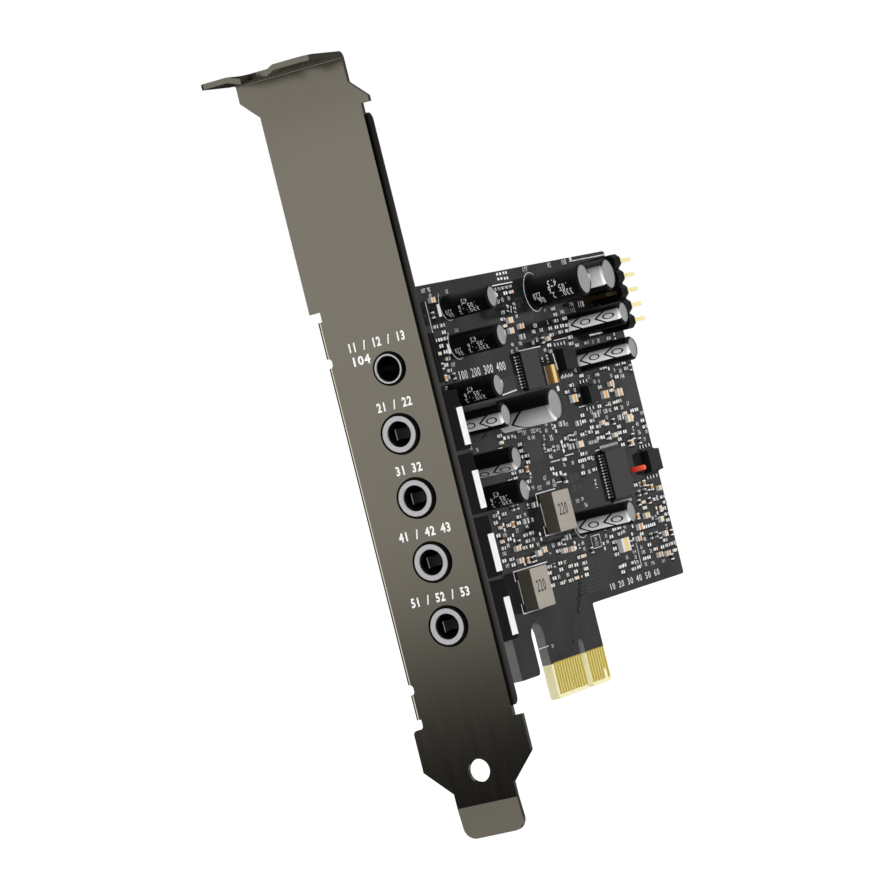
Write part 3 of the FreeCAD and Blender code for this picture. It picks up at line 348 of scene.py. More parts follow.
def chipCeramic():
    # the parts come from several batches, from orange to cream
    batches = [(0.40, tone(196, 128, 62)), (0.5, tone(228, 170, 96)), (0.64, tone(234, 206, 160))]
    finish = Finish("chip_ceramic")
    batch = finish.add("ShaderNodeValToRGB", {"stops": batches}, {0: finish.noise(75.0, 1.0)})
    grain = finish.noise(4000.0, 3.0)
    finish.set(color=finish.blend(grain * 0.15, batch, tone(120, 84, 50)))
    return finish.set(roughness=0.4 + grain * 0.2)


def indicatorRed():
    finish = Finish("red_resin")
    # painted shade: the post is coloured darker red at its foot by the board and lighter toward its head
    rise = finish.ramp(boardFront - finish.split(finish.point())[1], 0.0, indicator["height"] * mm)
    finish.set(color=finish.blend(rise, tone(186, 34, 16), tone(238, 92, 66)))
    return finish.set(roughness=0.25 + finish.noise(900.0) * 0.1)


# Sleeves: the angle that a can's stripe faces, half its width, and its marks. A mark is a chevron's tip
# and shoulder and an oval's two ends, as shares of the can's height. Plain cans have theirs turned away.
chevrons = [(0.05, 0.215, 0.22, 0.43), (0.53, 0.70, 0.66, 0.9)]
largeChevron = [(0.24, 0.46, 0.0, 0.0)]
sleeves = {
    "cans": range(1, 13), "foot": 0.04, "rim": 0.955, "line": 0.028, "oval": (0.5, 0.86, 0.15),
    "plain": (0, 0.8, []),
    "striped": {4: (-168, 1.0, chevrons), 5: (-134, 1.0, chevrons), 7: (-142, 1.9, largeChevron),
                9: (180, 1.75, []), 10: (180, 0.95, chevrons), 11: (180, 0.95, chevrons),
                12: (-162, 1.1, chevrons)},
}


def canMiddle(can):
    low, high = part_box("capacitor_sleeve_%d" % can)
    return (low.x + high.x) / 2, (low.z + high.z) / 2, (high.x - low.x) / 2, boardFront - low.y


def canTop(can):
    # bare aluminium, dark where the sleeve's shrunk rim rolls over it
    middleX, middleZ, radius, tall = canMiddle(can)
    finish = Finish("can_aluminium_%d" % can)
    x, y, z = finish.split(finish.point())
    across = x - middleX
    upward = z - middleZ
    rim = (across * across + upward * upward).root() > radius - 0.3 * mm
    grain = finish.noise(1500.0, 3.0)
    bright = finish.blend(grain, grey(0.86), (0.8, 0.8, 0.81, 1))
    finish.set(color=finish.blend(rim, bright, grey(0.03)), metallic=0.9 - rim * 0.9)
    finish.set(roughness=0.34 + (grain - 0.5) * 0.12)
    return finish.bump(grain, 0.000004, 0.25)


def sleeveFinish(can):
    middleX, middleZ, radius, tall = canMiddle(can)
    facing, half, marks = sleeves["striped"].get(can, sleeves["plain"])
    finish = Finish("sleeve_%d" % can)
    x, y, z = finish.split(finish.point())
    turn = (z - middleZ).angleTo(x - middleX) - math.radians(facing)
    turn = finish.add("ShaderNodeMath", {"operation": "WRAP"}, {0: turn, 1: math.pi, 2: -math.pi})
    offset = turn * radius / (half * mm)  # -1 and 1 at the stripe's edges
    aside = abs(offset)
    along = (boardFront - y) / tall  # 0 at the board, 1 at the top
    stripe = aside < 1.0
    # painted light: the stripe is coloured grey at its upper edge and near white along its lower edge, as
    # lit
    paintedLightFilm = finish.blend(finish.ramp(offset, -0.95, 0.8), tone(104, 104, 104), tone(250, 250, 250))
    paintedLightFilm = finish.blend(finish.noise(300.0) * 0.12, paintedLightFilm, tone(120, 120, 120))
    lines = []
    for tip, shoulder, low, high in marks:
        slant = abs(along - aside * (shoulder - tip) - tip)
        lines.append((slant < sleeves["line"]) * (along < shoulder + 0.03))
        if high > low:
            width, middle, thick = sleeves["oval"]
            down = (along - (low + high) / 2) / ((high - low) / 2)
            oval = (down * down + (aside / width) * (aside / width)).root()
            lines.append(abs(oval - middle) < thick)
    between = along.within(sleeves["foot"], sleeves["rim"])
    for line in lines:
        stripe = stripe * (1 - line * between)
    finish.set(color=finish.blend(stripe, tone(7, 7, 8), paintedLightFilm), metallic=stripe * 0.1)
    wrinkle = finish.noise(500.0, 2.0, (1.0, 0.2, 1.0))
    finish.set(roughness=0.34 + wrinkle * 0.1 - stripe * 0.1, specular=0.14)
    return finish.bump(wrinkle, 0.00001, 0.2)


def makeFinishes():
    finishes.update({
        "plate": blackNickel(), "board": solderMask(), "copper": copperUnderMask(), "gold": goldPlate(),
        "chip": chipResin("chip_resin", 56, 63), "smallChip": chipResin("small_chip_resin", 38, 46),
        "ferrite": ferriteBlock(), "lead": formedLead(), "headerGold": headerGold(),
        "terminal": chipTerminal(), "plateTin": contactPlate(), "ceramic": chipCeramic(),
        "print": printedWhite(), "red": indicatorRed(),
        "jack": moulding("jack_plastic", tone(3, 3, 3), tone(8, 8, 8), 0.34, 2500.0, 0.06),
        "header": moulding("header_plastic", tone(6, 6, 6), tone(12, 12, 13), 0.38, 3000.0, 0.1),
        "resistor": moulding("resistor_glaze", tone(30, 30, 34), tone(62, 62, 66), 0.3, 3000.0),
        "cream": moulding("cream_resin", tone(214, 176, 104), tone(232, 208, 150), 0.45, 2500.0),
        # painted shade: near-black patches laid under the small parts
        "shadePatch": moulding("painted_shade_mask", tone(4, 4, 4), tone(9, 9, 9), 0.3, 2500.0, 0.1),
        "mark": moulding("dark_ink", tone(34, 33, 31), tone(46, 44, 41), 0.6, 3000.0, 0.2),
        "ring": metal("ring_nickel", (0.42, 0.415, 0.42, 1), (0.37, 0.365, 0.37, 1), 0.3, 0.3),
        "spring": metal("spring_steel", grey(0.26), grey(0.2), 0.35, 0.4),
        "pads": metal("bright_tin", (0.93, 0.93, 0.92, 1), (0.8, 0.8, 0.79, 1), 0.35, 0.15),
        "tin": metal("tin_plate", (0.9, 0.9, 0.88, 1), (0.8, 0.8, 0.79, 1), 0.32, 0.35),
        "screw": metal("screw_zinc", grey(0.6), grey(0.5), 0.3),
        "solder": metal("solder", grey(0.8), grey(0.66), 0.24, 0.8),
    })


def deselect():
    bpy.ops.object.select_all(action="DESELECT")


def wear(node, finish):
    slots = nodes[node].data.materials
    slots.clear()
    slots.append(finish.material)


def dressNodes():
    plain = {
        "bracket": "plate", "circuit_board": "board", "edge_contacts": "gold", "header_base": "header",
        "header_pins": "headerGold", "bracket_screws": "screw", "capacitor_leads": "tin",
        "inductor_feet": "tin", "processor_body": "chip", "processor_leads": "lead",
        "converter_body": "chip", "converter_leads": "lead", "amplifier_bodies": "smallChip",
        "regulator_body": "smallChip", "small_chip_leads": "lead", "chip_capacitors": "ceramic",
        "chip_resistors": "resistor", "moulded_capacitors": "cream", "chip_terminals": "terminal",
        "inductor_block_1": "ferrite", "inductor_block_2": "ferrite",
    }
    for jack in range(1, 6):
        plain["jack_housing_%d" % jack] = "jack"
        plain["jack_ring_%d" % jack] = "ring"
        plain["jack_contacts_%d" % jack] = "plateTin"
    for node, key in plain.items():
        wear(node, finishes[key])
    for can in sleeves["cans"]:
        wear("capacitor_sleeve_%d" % can, sleeveFinish(can))
        wear("capacitor_can_%d" % can, canTop(can))
    for node in nodes.values():
        node.data.shade_smooth()
        smoothByAngle(node, 35)


def smoothByAngle(piece, degrees):
    deselect()
    piece.select_set(True)
    bpy.context.view_layer.objects.active = piece
    bpy.ops.object.shade_smooth_by_angle(angle=math.radians(degrees))


# Stage, light and camera
camera = {
    "place": (-806.95 * mm, -378.6 * mm, 44.9 * mm),
    "azimuth": 25.958, "elevation": -0.088, "roll": -13.989,
    "lens": 224.64, "sensor": 36.0,
}


def makeCamera():
    data = bpy.data.cameras.new("camera")
    data.sensor_width = camera["sensor"]
    data.lens = camera["lens"]
    data.clip_start = 0.01
    seat = bpy.data.objects.new("camera", data)
    bpy.context.scene.collection.objects.link(seat)
    azimuth, elevation, roll = [math.radians(camera[key]) for key in ("azimuth", "elevation", "roll")]
    turn = (Matrix.Rotation(azimuth - math.pi / 2, 4, "Z")
            @ Matrix.Rotation(elevation + math.pi / 2, 4, "X") @ Matrix.Rotation(roll, 4, "Z"))
    seat.matrix_world = Matrix.Translation(camera["place"]) @ turn
    bpy.context.scene.camera = seat


stage = {"floor": cadLow.z - 0.1 * mm, "size": 6.0, "glow": 0.85, "shine": 1.14, "ambient": 0.3}


def makeFloor():
    deselect()
    bpy.ops.mesh.primitive_plane_add(size=stage["size"], location=(0, 0, stage["floor"]))
    floor = bpy.context.object
    floor.name = "floor"
    floor.visible_glossy = False
    finish = Finish("pale_floor")
    seen = finish.add("ShaderNodeLightPath", output="Is Camera Ray")
    matt = finish.add("ShaderNodeBsdfDiffuse", None, {"Color": grey(0.93)})
    glow = finish.add("ShaderNodeEmission", None, {"Color": grey(1), "Strength": stage["shine"]})
    mixed = finish.add("ShaderNodeMixShader", None, {0: seen * stage["glow"], 1: matt, 2: glow})
    finish.plug(finish.tree.nodes["Material Output"].inputs["Surface"], mixed)
    floor.data.materials.append(finish.material)


# What polished metal sees of the studio: brightness by height (-1 down, 1 up) on two sides of it, and
# the bearings in degrees that each side runs between
studio = {
    "windowSide": [(-1.0, 0.7), (-0.26, 0.75), (-0.19, 0.04), (-0.058, 0.02), (-0.0493, 0.09),
                   (-0.0447, 0.2), (-0.04, 0.36), (-0.033, 0.6), (-0.0217, 0.9), (0.005, 0.95),
                   (0.03, 1.0), (0.12, 0.95), (0.26, 0.3), (0.7, 0.35), (1.0, 0.6)],
    "frontSide": [(-1.0, 0.6), (-0.3, 0.4), (-0.07, 0.12), (-0.045, 0.38), (-0.018, 0.5), (0.022, 0.42),
                  (0.06, 0.1), (0.3, 0.4), (1.0, 0.8)],
    "window": (117, 190), "windowRest": (-190, -98), "strip": (94, 117), "front": (-96, 0), "soft": 2.0,
    "stripGlow": 3.5, "dark": 0.025, "overhead": 0.75, "below": 0.5,
}


def makeWorld():
    world = bpy.data.worlds.new("studio")
    bpy.context.scene.world = world
    world.use_nodes = True
    finish = Finish("studio", world.node_tree)
    seen, glossy, passed = [finish.add("ShaderNodeLightPath", output="Is %s Ray" % kind)
                            for kind in ("Camera", "Glossy", "Transmission")]
    x, y, z = finish.split(finish.add("ShaderNodeTexCoord", output="Generated"))
    bearing = y.angleTo(x) * (180 / math.pi)

    def between(limits):
        soft = studio["soft"]
        return finish.ramp(bearing, limits[0] - soft, limits[0] + soft) * (
            1 - finish.ramp(bearing, limits[1] - soft, limits[1] + soft))

    def byHeight(rows):
        stops = [((height + 1) / 2, grey(bright)) for height, bright in rows]
        return finish.add("ShaderNodeValToRGB", {"stops": stops}, {0: z * 0.5 + 0.5})

    window = between(studio["window"]).larger(between(studio["windowRest"]))
    color = finish.blend(window, grey(studio["dark"]), byHeight(studio["windowSide"]))
    color = finish.blend(between(studio["front"]), color, byHeight(studio["frontSide"]))
    color = finish.blend(between(studio["strip"]), color, grey(studio["stripGlow"]))
    color = finish.blend(finish.ramp(z, 0.4, 0.7), color, grey(studio["overhead"]))
    color = finish.blend(finish.ramp(z, -0.5, -0.8), color, grey(studio["below"]))
    color = finish.blend(glossy, grey(stage["ambient"]), color)
    color = finish.blend(seen.larger(passed), color, grey(1.0))
    finish.plug(world.node_tree.nodes["Background"].inputs["Color"], color)


lamps = {
    "key": {"place": (-0.35, -0.85, 0.45), "size": 0.5, "power": 7.0},
    "left": {"place": (-0.95, -0.15, 0.3), "size": 0.5, "power": 5.5},
    "back": {"place": (0.25, 0.9, 0.35), "size": 0.5, "power": 6.0},
    "right": {"place": (0.9, -0.1, 0.25), "size": 0.5, "power": 4.0},
}


def makeLamps():
    middle = (cadLow + cadHigh) / 2
    for name, lamp in lamps.items():
        data = bpy.data.lights.new(name, "AREA")
        data.size = lamp["size"]
        data.energy = lamp["power"]
        seat = bpy.data.objects.new(name, data)
        bpy.context.scene.collection.objects.link(seat)
        place = Vector(lamp["place"])
        turn = (middle - place).to_track_quat("-Z", "Y").to_matrix().to_4x4()
        seat.matrix_world = Matrix.Translation(place) @ turn
        seat.visible_glossy = False


# Printing and small pieces: each is modelled once, standing on its own XY plane, and copied to its places.
# A face's own X runs across it, its Y up it, and its Z out of it.
facings = {
    "board": Matrix(((1, 0, 0, 0), (0, 0, -1, 0), (0, 1, 0, 0), (0, 0, 0, 1))),
    "plate": Matrix(((0, 0, -1, 0), (-1, 0, 0, 0), (0, 1, 0, 0), (0, 0, 0, 1))),
    "back": Matrix(((-1, 0, 0, 0), (0, 0, 1, 0), (0, 1, 0, 0), (0, 0, 0, 1))),
}
inkDepth = 0.02 * mm
lift = 0.004 * mm
masters = {}


def onFace(facing, x, z, rise=lift):
    # X and Z in millimetres; on the bracket's plate X runs along the part's Y
    return Vector({"board": (x * mm, boardFront - rise, z * mm), "back": (x * mm, boardBack + rise, z * mm),
                   "plate": (plateFace - rise, x * mm, z * mm)}[facing])


def laid(facing, place, turn=0.0, size=(1, 1, 1)):
    return (Matrix.Translation(place) @ facings[facing] @ Matrix.Rotation(math.radians(turn), 4, "Z")
            @ Matrix.Diagonal((*size, 1)))


def keepMaster(name):
    masters[name] = bpy.context.object
    masters[name].name = "master_" + name
    masters[name].hide_render = True


def editing(selectMode="FACE"):
    bpy.ops.object.mode_set(mode="EDIT")
    bpy.ops.mesh.select_mode(type=selectMode)
    bpy.ops.mesh.select_all(action="SELECT")


def leaveEdit():
    bpy.ops.mesh.select_all(action="SELECT")
    bpy.ops.mesh.remove_doubles(threshold=1e-7)
    bpy.ops.mesh.normals_make_consistent(inside=False)
    bpy.ops.object.mode_set(mode="OBJECT")


def extrude(x, y, z):
    bpy.ops.mesh.extrude_region_move(TRANSFORM_OT_translate={"value": (x, y, z)})


def copyOf(name, matrix):
    piece = masters[name].copy()
    piece.data = masters[name].data.copy()
    piece.hide_render = False
    bpy.context.scene.collection.objects.link(piece)
    piece.data.transform(matrix)
    return piece


def put(name, facing, x, z, turn=0.0, rise=lift, size=(1, 1, 1)):
    return copyOf(name, laid(facing, onFace(facing, x, z, rise), turn, size))


def join(pieces, name, key):
    deselect()
    for piece in pieces:
        piece.select_set(True)
    whole = pieces[0]
    bpy.context.view_layer.objects.active = whole
    if len(pieces) > 1:
        bpy.ops.object.join()
    whole.name = name
    whole.data.name = name
    whole.data.materials.clear()
    whole.data.materials.append(finishes[key].material)
    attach(whole, "root")
    print(name, len(whole.data.polygons), "faces")


def makeBlock(name, length, width, height, soften=0.0):
    # a block that stands on its own XY plane, the edges of its top softened
    deselect()
    bpy.ops.mesh.primitive_plane_add(size=1.0, location=(0, 0, 0))
    editing()
    bpy.ops.transform.resize(value=(length, width, 1))
    extrude(0, 0, height)
    if soften:
        bpy.ops.mesh.bevel(offset=soften, segments=1, affect="EDGES")
    leaveEdit()
    keepMaster(name)


def makeInkRing(name, radius, width, half=False):
    deselect()
    bpy.ops.mesh.primitive_circle_add(vertices=40, radius=(radius + width / 2) * mm, fill_type="NGON",
                                      location=(0, 0, 0))
    editing()
    bpy.ops.mesh.inset(thickness=width * mm)
    bpy.ops.mesh.delete(type="FACE")
    bpy.ops.mesh.select_all(action="SELECT")
    extrude(0, 0, inkDepth)
    if half:
        bpy.ops.mesh.select_all(action="SELECT")
        bpy.ops.mesh.bisect(plane_co=(0, 0, 0), plane_no=(1, 0, 0), use_fill=True, clear_outer=True)
    leaveEdit()
    keepMaster(name)


# A figure's height and pitch in a font of size 1, how far it may be stretched, and its two weights
figure = {"tall": 0.68, "pitch": 0.58, "widest": 1.3, "weights": {"fine": 0.0, "bold": 0.03}}


def makeDigits():
    for weight, thicken in figure["weights"].items():
        for letter in "0123456789/":
            deselect()
            bpy.ops.object.text_add(location=(0, 0, 0))
            piece = bpy.context.object
            piece.data.body = letter
            piece.data.size = 1.0
            piece.data.align_x = "CENTER"
            piece.data.offset = thicken
            piece.data.extrude = 0.5
            piece.data.resolution_u = 2
            bpy.ops.object.convert(target="MESH")
            piece.data.transform(Matrix.Translation((0, -figure["tall"] / 2, 0.5)))
            keepMaster(weight + letter)


def number(text, facing, place, height, turn=0.0, width=None, depth=inkDepth, weight="fine"):
    # a row of figures, centred on its place; width stretches the row to fit
    size = height * mm / figure["tall"]
    pitch = figure["pitch"] * size if width is None else width * mm / len(text)
    stretch = min(pitch / size / figure["pitch"], figure["widest"])
    row = laid(facing, place, turn) @ Matrix.Translation(((1 - len(text)) / 2 * pitch, 0, 0))
    shape = Matrix.Diagonal((size * stretch, size, depth, 1))
    return [copyOf(weight + letter, row @ Matrix.Translation((i * pitch, 0, 0)) @ shape)
            for i, letter in enumerate(text) if letter != " "]


def bar(facing, x, z, length, height, turn=0.0, depth=inkDepth, rise=lift):
    return put("bar", facing, x, z, turn, rise, (length * mm, height * mm, depth))


# Port numbers: lines of figures above each jack, their middle across and up the bracket, and their width
portLabels = {
    "height": 1.3, "depth": 0.03 * mm,
    "rows": [("11 / 12 / 13", -7.55, 61.1, 10.0), ("104", -4.3, 58.95, 3.4), ("21 / 22", -7.98, 51.3, 6.1),
             ("31 32", -7.7, 41.35, 4.6), ("41 / 42 43", -7.74, 31.5, 9.0),
             ("51 / 52 / 53", -7.65, 21.5, 10.2)],
}


def printPlate():
    pieces = []
    for text, across, up, width in portLabels["rows"]:
        pieces += number(text, "plate", onFace("plate", across, up), portLabels["height"], 0.0, width,
                         portLabels["depth"], "bold")
    join(pieces, "port_numbers", "print")


# Board print: strokes as X, Z, length and height in millimetres, and their turn in degrees if any
strokes = [
    (-21.1, 64.2, 1.0, 2.0), (-21.0, 58.0, 1.0, 1.6), (4.0, 66.4, 8.0, 0.16), (8.2, 55.25, 8.5, 0.14),
    (16.7, 52.3, 0.3, 2.8, 8), (39.0, 67.95, 14.6, 0.14), (0.9, 32.3, 7.8, 0.16), (0.9, 25.4, 7.8, 0.16),
    (-3.0, 31.6, 0.16, 1.5), (-3.0, 26.2, 0.16, 1.5), (-11.5, 21.4, 13.0, 0.16), (-14.0, 14.6, 8.0, 0.16),
    (-18.0, 20.6, 0.16, 1.6), (-18.0, 15.4, 0.16, 1.6), (35.1, 55.25, 5.4, 0.28), (27.6, 36.5, 8.4, 0.12),
    (6.8, 33.15, 2.0, 0.14), (5.0, 62.1, 0.16, 1.2, -20), (15.2, 23.2, 3.5, 0.12),
    (15.2, 21.2, 3.5, 0.12), (13.5, 22.2, 0.12, 2.0), (17.0, 22.2, 0.12, 2.0), (30.4, 18.0, 0.14, 4.0),
    (-25.3, 63.5, 0.14, 5.0), (17.4, 38.2, 0.12, 2.4), (33.0, 43.3, 2.2, 0.12), (23.0, 44.1, 3.2, 0.12),
    (7.4, 36.6, 3.6, 0.14), (13.2, 37.0, 3.4, 0.14), (45.6, 34.2, 2.0, 0.12), (20.6, 55.7, 5.0, 0.12),
    (-3.2, 49.1, 5.6, 0.2, 3), (-14.0, 8.55, 4.2, 0.1), (3.0, 67.3, 0.7, 0.42), (3.0, 68.1, 0.7, 0.42),
    (4.2, 67.3, 0.7, 0.42), (4.2, 68.1, 0.7, 0.42), (5.5, 67.2, 0.6, 0.42), (5.5, 68.1, 0.6, 0.42),
    (6.5, 67.2, 0.6, 0.42), (6.5, 68.1, 0.6, 0.42), (32.3, 68.35, 0.9, 0.5), (-9.2, 42.2, 0.8, 0.5),
    (-7.7, 42.2, 0.8, 0.5), (-6.2, 42.2, 0.8, 0.5), (-5.2, 42.0, 0.5, 0.5), (11.5, 39.3, 0.7, 0.6, 20),
    (11.5, 37.9, 0.7, 0.6, 20), (13.6, 38.6, 0.7, 0.5), (6.6, 34.5, 0.8, 0.6), (8.3, 34.5, 0.8, 0.6),
    (5.6, 34.7, 0.6, 0.5), (17.7, 49.5, 0.6, 0.4), (18.9, 49.5, 0.6, 0.4), (20.2, 49.5, 0.6, 0.4),
    (21.4, 49.5, 0.6, 0.4), (15.2, 47.9, 0.9, 0.8),
]

# Figures beside the parts: X and Z, and height and turn where they aren't the usual; the figures
# themselves are drawn from a seeded row
labels = [
    (-25.1, 67.7, 0.7), (-23.0, 67.7, 0.7), (-23.0, 66.8), (-16.8, 66.9), (-16.8, 60.6), (-21.0, 55.4),
    (-25.0, 52.0), (1.0, 65.75, 0.5), (2.4, 65.75, 0.5), (3.8, 65.75, 0.5), (5.2, 65.75, 0.5),
    (6.8, 65.75, 0.5), (0.8, 63.7), (2.6, 63.9), (5.1, 63.9), (1.7, 61.85), (3.8, 62.3, 0.9, 70),
    (6.4, 62.2, 0.8, 80), (6.4, 60.8), (2.2, 56.5), (5.2, 56.4), (5.8, 57.4), (1.5, 55.4), (3.4, 55.6),
    (13.8, 68.0, 0.8), (11.3, 57.8), (14.3, 57.8), (12.4, 58.7), (11.8, 56.4), (13.8, 54.5), (15.8, 54.1),
    (12.0, 53.0, 0.6, 90), (14.0, 53.0, 0.6, 90), (23.5, 68.0, 0.8), (29.4, 68.0, 0.8), (-22.0, 42.0),
    (-20.0, 41.5), (-17.7, 27.4), (-19.5, 24.6), (-19.5, 22.6), (-1.5, 42.3, 0.7), (-0.3, 41.3),
    (1.8, 42.2, 0.7), (1.4, 41.2), (3.4, 42.2), (4.5, 42.0, 0.6, 90), (8.0, 40.4, 0.9), (6.1, 37.5, 0.8),
    (4.6, 39.0, 0.7, 90), (8.0, 38.6, 0.8, 90), (9.6, 38.6, 0.8), (-3.0, 35.4, 0.7, 90), (-3.2, 33.4),
    (1.9, 34.4, 0.7), (2.6, 33.5), (4.8, 33.6, 0.7), (4.8, 32.9), (-1.0, 33.1, 0.7), (14.8, 28.4, 0.7),
    (12.0, 29.4), (14.0, 29.5), (9.6, 42.1, 0.7, 90), (14.9, 41.9), (17.5, 40.1), (-10.5, 8.3, 0.5),
    (26.5, 22.4), (25.5, 18.2), (28.8, 18.7), (28.8, 17.8), (28.8, 16.9), (32.3, 18.2), (35.0, 16.0),
    (39.5, 15.8), (10.0, 22.6), (10.0, 21.6), (19.5, 22.6), (19.5, 21.6), (15.2, 22.6), (15.2, 21.8),
    (28.3, 60.9, 0.8), (28.3, 59.9, 0.8), (32.0, 60.6, 1.0), (24.0, 60.0, 0.7), (41.3, 48.3, 0.7),
    (41.3, 47.4, 0.7), (40.8, 42.7, 0.7), (25.7, 42.8, 0.7), (28.6, 42.5, 0.7), (31.2, 42.4, 0.7),
    (33.6, 43.4, 0.7), (37.0, 47.9), (42.6, 39.0, 0.7), (42.6, 37.6, 0.7), (45.5, 40.6), (45.5, 37.4),
    (20.6, 31.2, 0.7, 90),
]


def labelRow(x, z, height=0.6, turn=0):
    return x, z, height, turn


# Two longer rows of plain figures: text, X, Z, height and length
figureRows = [("100 200 300 400", -11.2, 53.5, 1.4, 18.0), ("10 20 30 40 50 60", 26.35, 14.35, 1.05, 21.0)]
rings = [("largeRing", 14.8, 64.15, 0), ("smallArc", -17.9, 65.0, 48), ("smallArc", -17.9, 58.7, 48),
         ("smallArc", 10.9, 26.1, 35)]


def printBoard():
    makeInkRing("largeRing", 3.25, 0.11)
    makeInkRing("smallArc", 2.7, 0.11, True)
    draw = random.Random(41)
    pieces = [bar("board", *row) for row in strokes]
    pieces += [put(name, "board", x, z, turn) for name, x, z, turn in rings]
    for row in labels:
        x, z, height, turn = labelRow(*row)
        pieces += number(str(draw.randint(10, 199)), "board", onFace("board", x, z), height, turn)
    for text, x, z, height, length in figureRows:
        pieces += number(text, "board", onFace("board", x, z), height, 0.0, length)
    join(pieces, "board_print", "print")


# Small chip parts and print that fill the crowded zones, drawn from a seeded row. Zones and bare
# patches run from X to X and Z to Z; shares are running shares of what stands at each place.
crowd = {
    "seed": 7, "cell": 0.25, "widest": 60, "proud": 0.02 * mm, "labelLength": 1.6,
    "zones": [(0, 8, 56.2, 66), (9.5, 17, 53.6, 59.2), (17, 28, 54.2, 61.2), (17, 27, 45.5, 51.5),
              (24, 47, 35.8, 50), (35, 47, 15.5, 30.8), (-20.5, -4, 22, 31.5), (-5.5, 10, 17, 24.6),
              (5, 24, 33, 43.2), (21, 35.5, 15.6, 25), (25, 46, 53.6, 55.2), (-26, -20, 50, 67),
              (-12, -2, 33, 43), (8, 22, 20.6, 24.6)],
    "bare": [(-21, -1.5, 52.6, 54.8), (15, 38, 13.4, 15.5), (40, 46.5, 42.6, 47.0),
             (10.8, 15.2, 30.6, 34.2)],
    "margin": {"bottom": 0.5, "top": 0.3, "left": (0.3, 1.0), "right": 0.5},
    "across": 1.72, "spread": (0.55, 1.1), "up": 1.02, "nudge": 0.12, "upright": 0.3,
    "shares": {"tan": 0.12, "dark": 0.4, "pads": 0.7, "print": 0.88},
    "room": {True: (0.8, 1.5), False: (1.5, 0.7)},  # of an upright part and a lying one
    "length": 1.05, "end": 0.24, "endSize": (0.52, 0.36), "bodySize": (0.48, 0.33), "soften": 0.03,
    "pad": (0.5, 0.55, 0.05), "padGap": 0.84, "figure": 0.62, "shadePatch": (1.75, 0.95), "shadePatchDepth": 0.008 * mm,
}


def occupied():
    # cells of the board's face that a CAD piece or a print stands over; a facet more than "widest"
    # cells across is passed over, because its box says little about where it is
    cell = crowd["cell"] * mm
    cells = set()
    for name, node in nodes.items():
        if name in ("bracket", "circuit_board", "edge_contacts"):
            continue
        points = node.data.vertices
        for face in node.data.polygons:
            spots = [points[i].co for i in face.vertices]
            if min(spot.y for spot in spots) > boardFront - crowd["proud"]:
                continue
            low = [math.floor(min(spot[i] for spot in spots) / cell) for i in (0, 2)]
            high = [math.floor(max(spot[i] for spot in spots) / cell) for i in (0, 2)]
            if max(high[0] - low[0], high[1] - low[1]) <= crowd["widest"]:
                cells.update((across, up) for across in range(low[0], high[0] + 1)
                             for up in range(low[1], high[1] + 1))
    for row in strokes:
        cells.update(covered(*row[:4]))
    for row in labels:
        x, z, height, turn = labelRow(*row)
        length = crowd["labelLength"]
        cells.update(covered(x, z, *((length, height) if turn < 45 else (height, length))))
    return cells


def covered(x, z, length, height):
    cell = crowd["cell"]
    columns = range(math.floor((x - length / 2) / cell), math.floor((x + length / 2) / cell) + 1)
    rows = range(math.floor((z - height / 2) / cell), math.floor((z + height / 2) / cell) + 1)
    return [(column, row) for column in columns for row in rows]


def makeChip():
    # a chip part's body, one tinned end that wraps it, and a bare pad
    shapes = {"chipBody": (crowd["length"] - crowd["end"], *crowd["bodySize"]),
              "chipEnd": (crowd["end"], *crowd["endSize"]), "pad": crowd["pad"]}
    for name, sizes in shapes.items():
        makeBlock(name, *[size * mm for size in sizes], crowd["soften"] * mm)


def addChip(kinds, kind, x, z, turn):
    kinds[kind].append(put("chipBody", "board", x, z, turn, 0.0))
    for side in (-0.5, 0.5):
        shift = Matrix.Translation((side * (crowd["length"] - crowd["end"]) * mm, 0, 0))
        kinds["ends"].append(copyOf("chipEnd", laid("board", onFace("board", x, z, 0.0), turn) @ shift))


def fillPlace(kinds, pick, x, z, nudge, upright, text):
    # a chip part, a pair of pads, a figure or nothing, by what was picked for this place; under a part or
    # pads goes a near-black patch, painted shade
    shares = crowd["shares"]
    turn = 90 if upright else 0
    if pick < shares["dark"]:
        addChip(kinds, "tan" if pick < shares["tan"] else "dark", x, z + nudge, turn)
    elif pick < shares["pads"]:
        for side in (-crowd["padGap"] / 2, crowd["padGap"] / 2):
            across, up = (0, side) if upright else (side, 0)
            kinds["ends"].append(put("pad", "board", x + across, z + up, 0.0, 0.0))
    elif pick < shares["print"]:
        kinds["print"] += number(text, "board", onFace("board", x, z + nudge), crowd["figure"], turn)
    if pick < shares["pads"]:
        # painted shade: a near-black patch under the part or pads
        kinds["shadePatches"].append(bar("board", x, z + nudge, *crowd["shadePatch"], turn, crowd["shadePatchDepth"], 0.0))


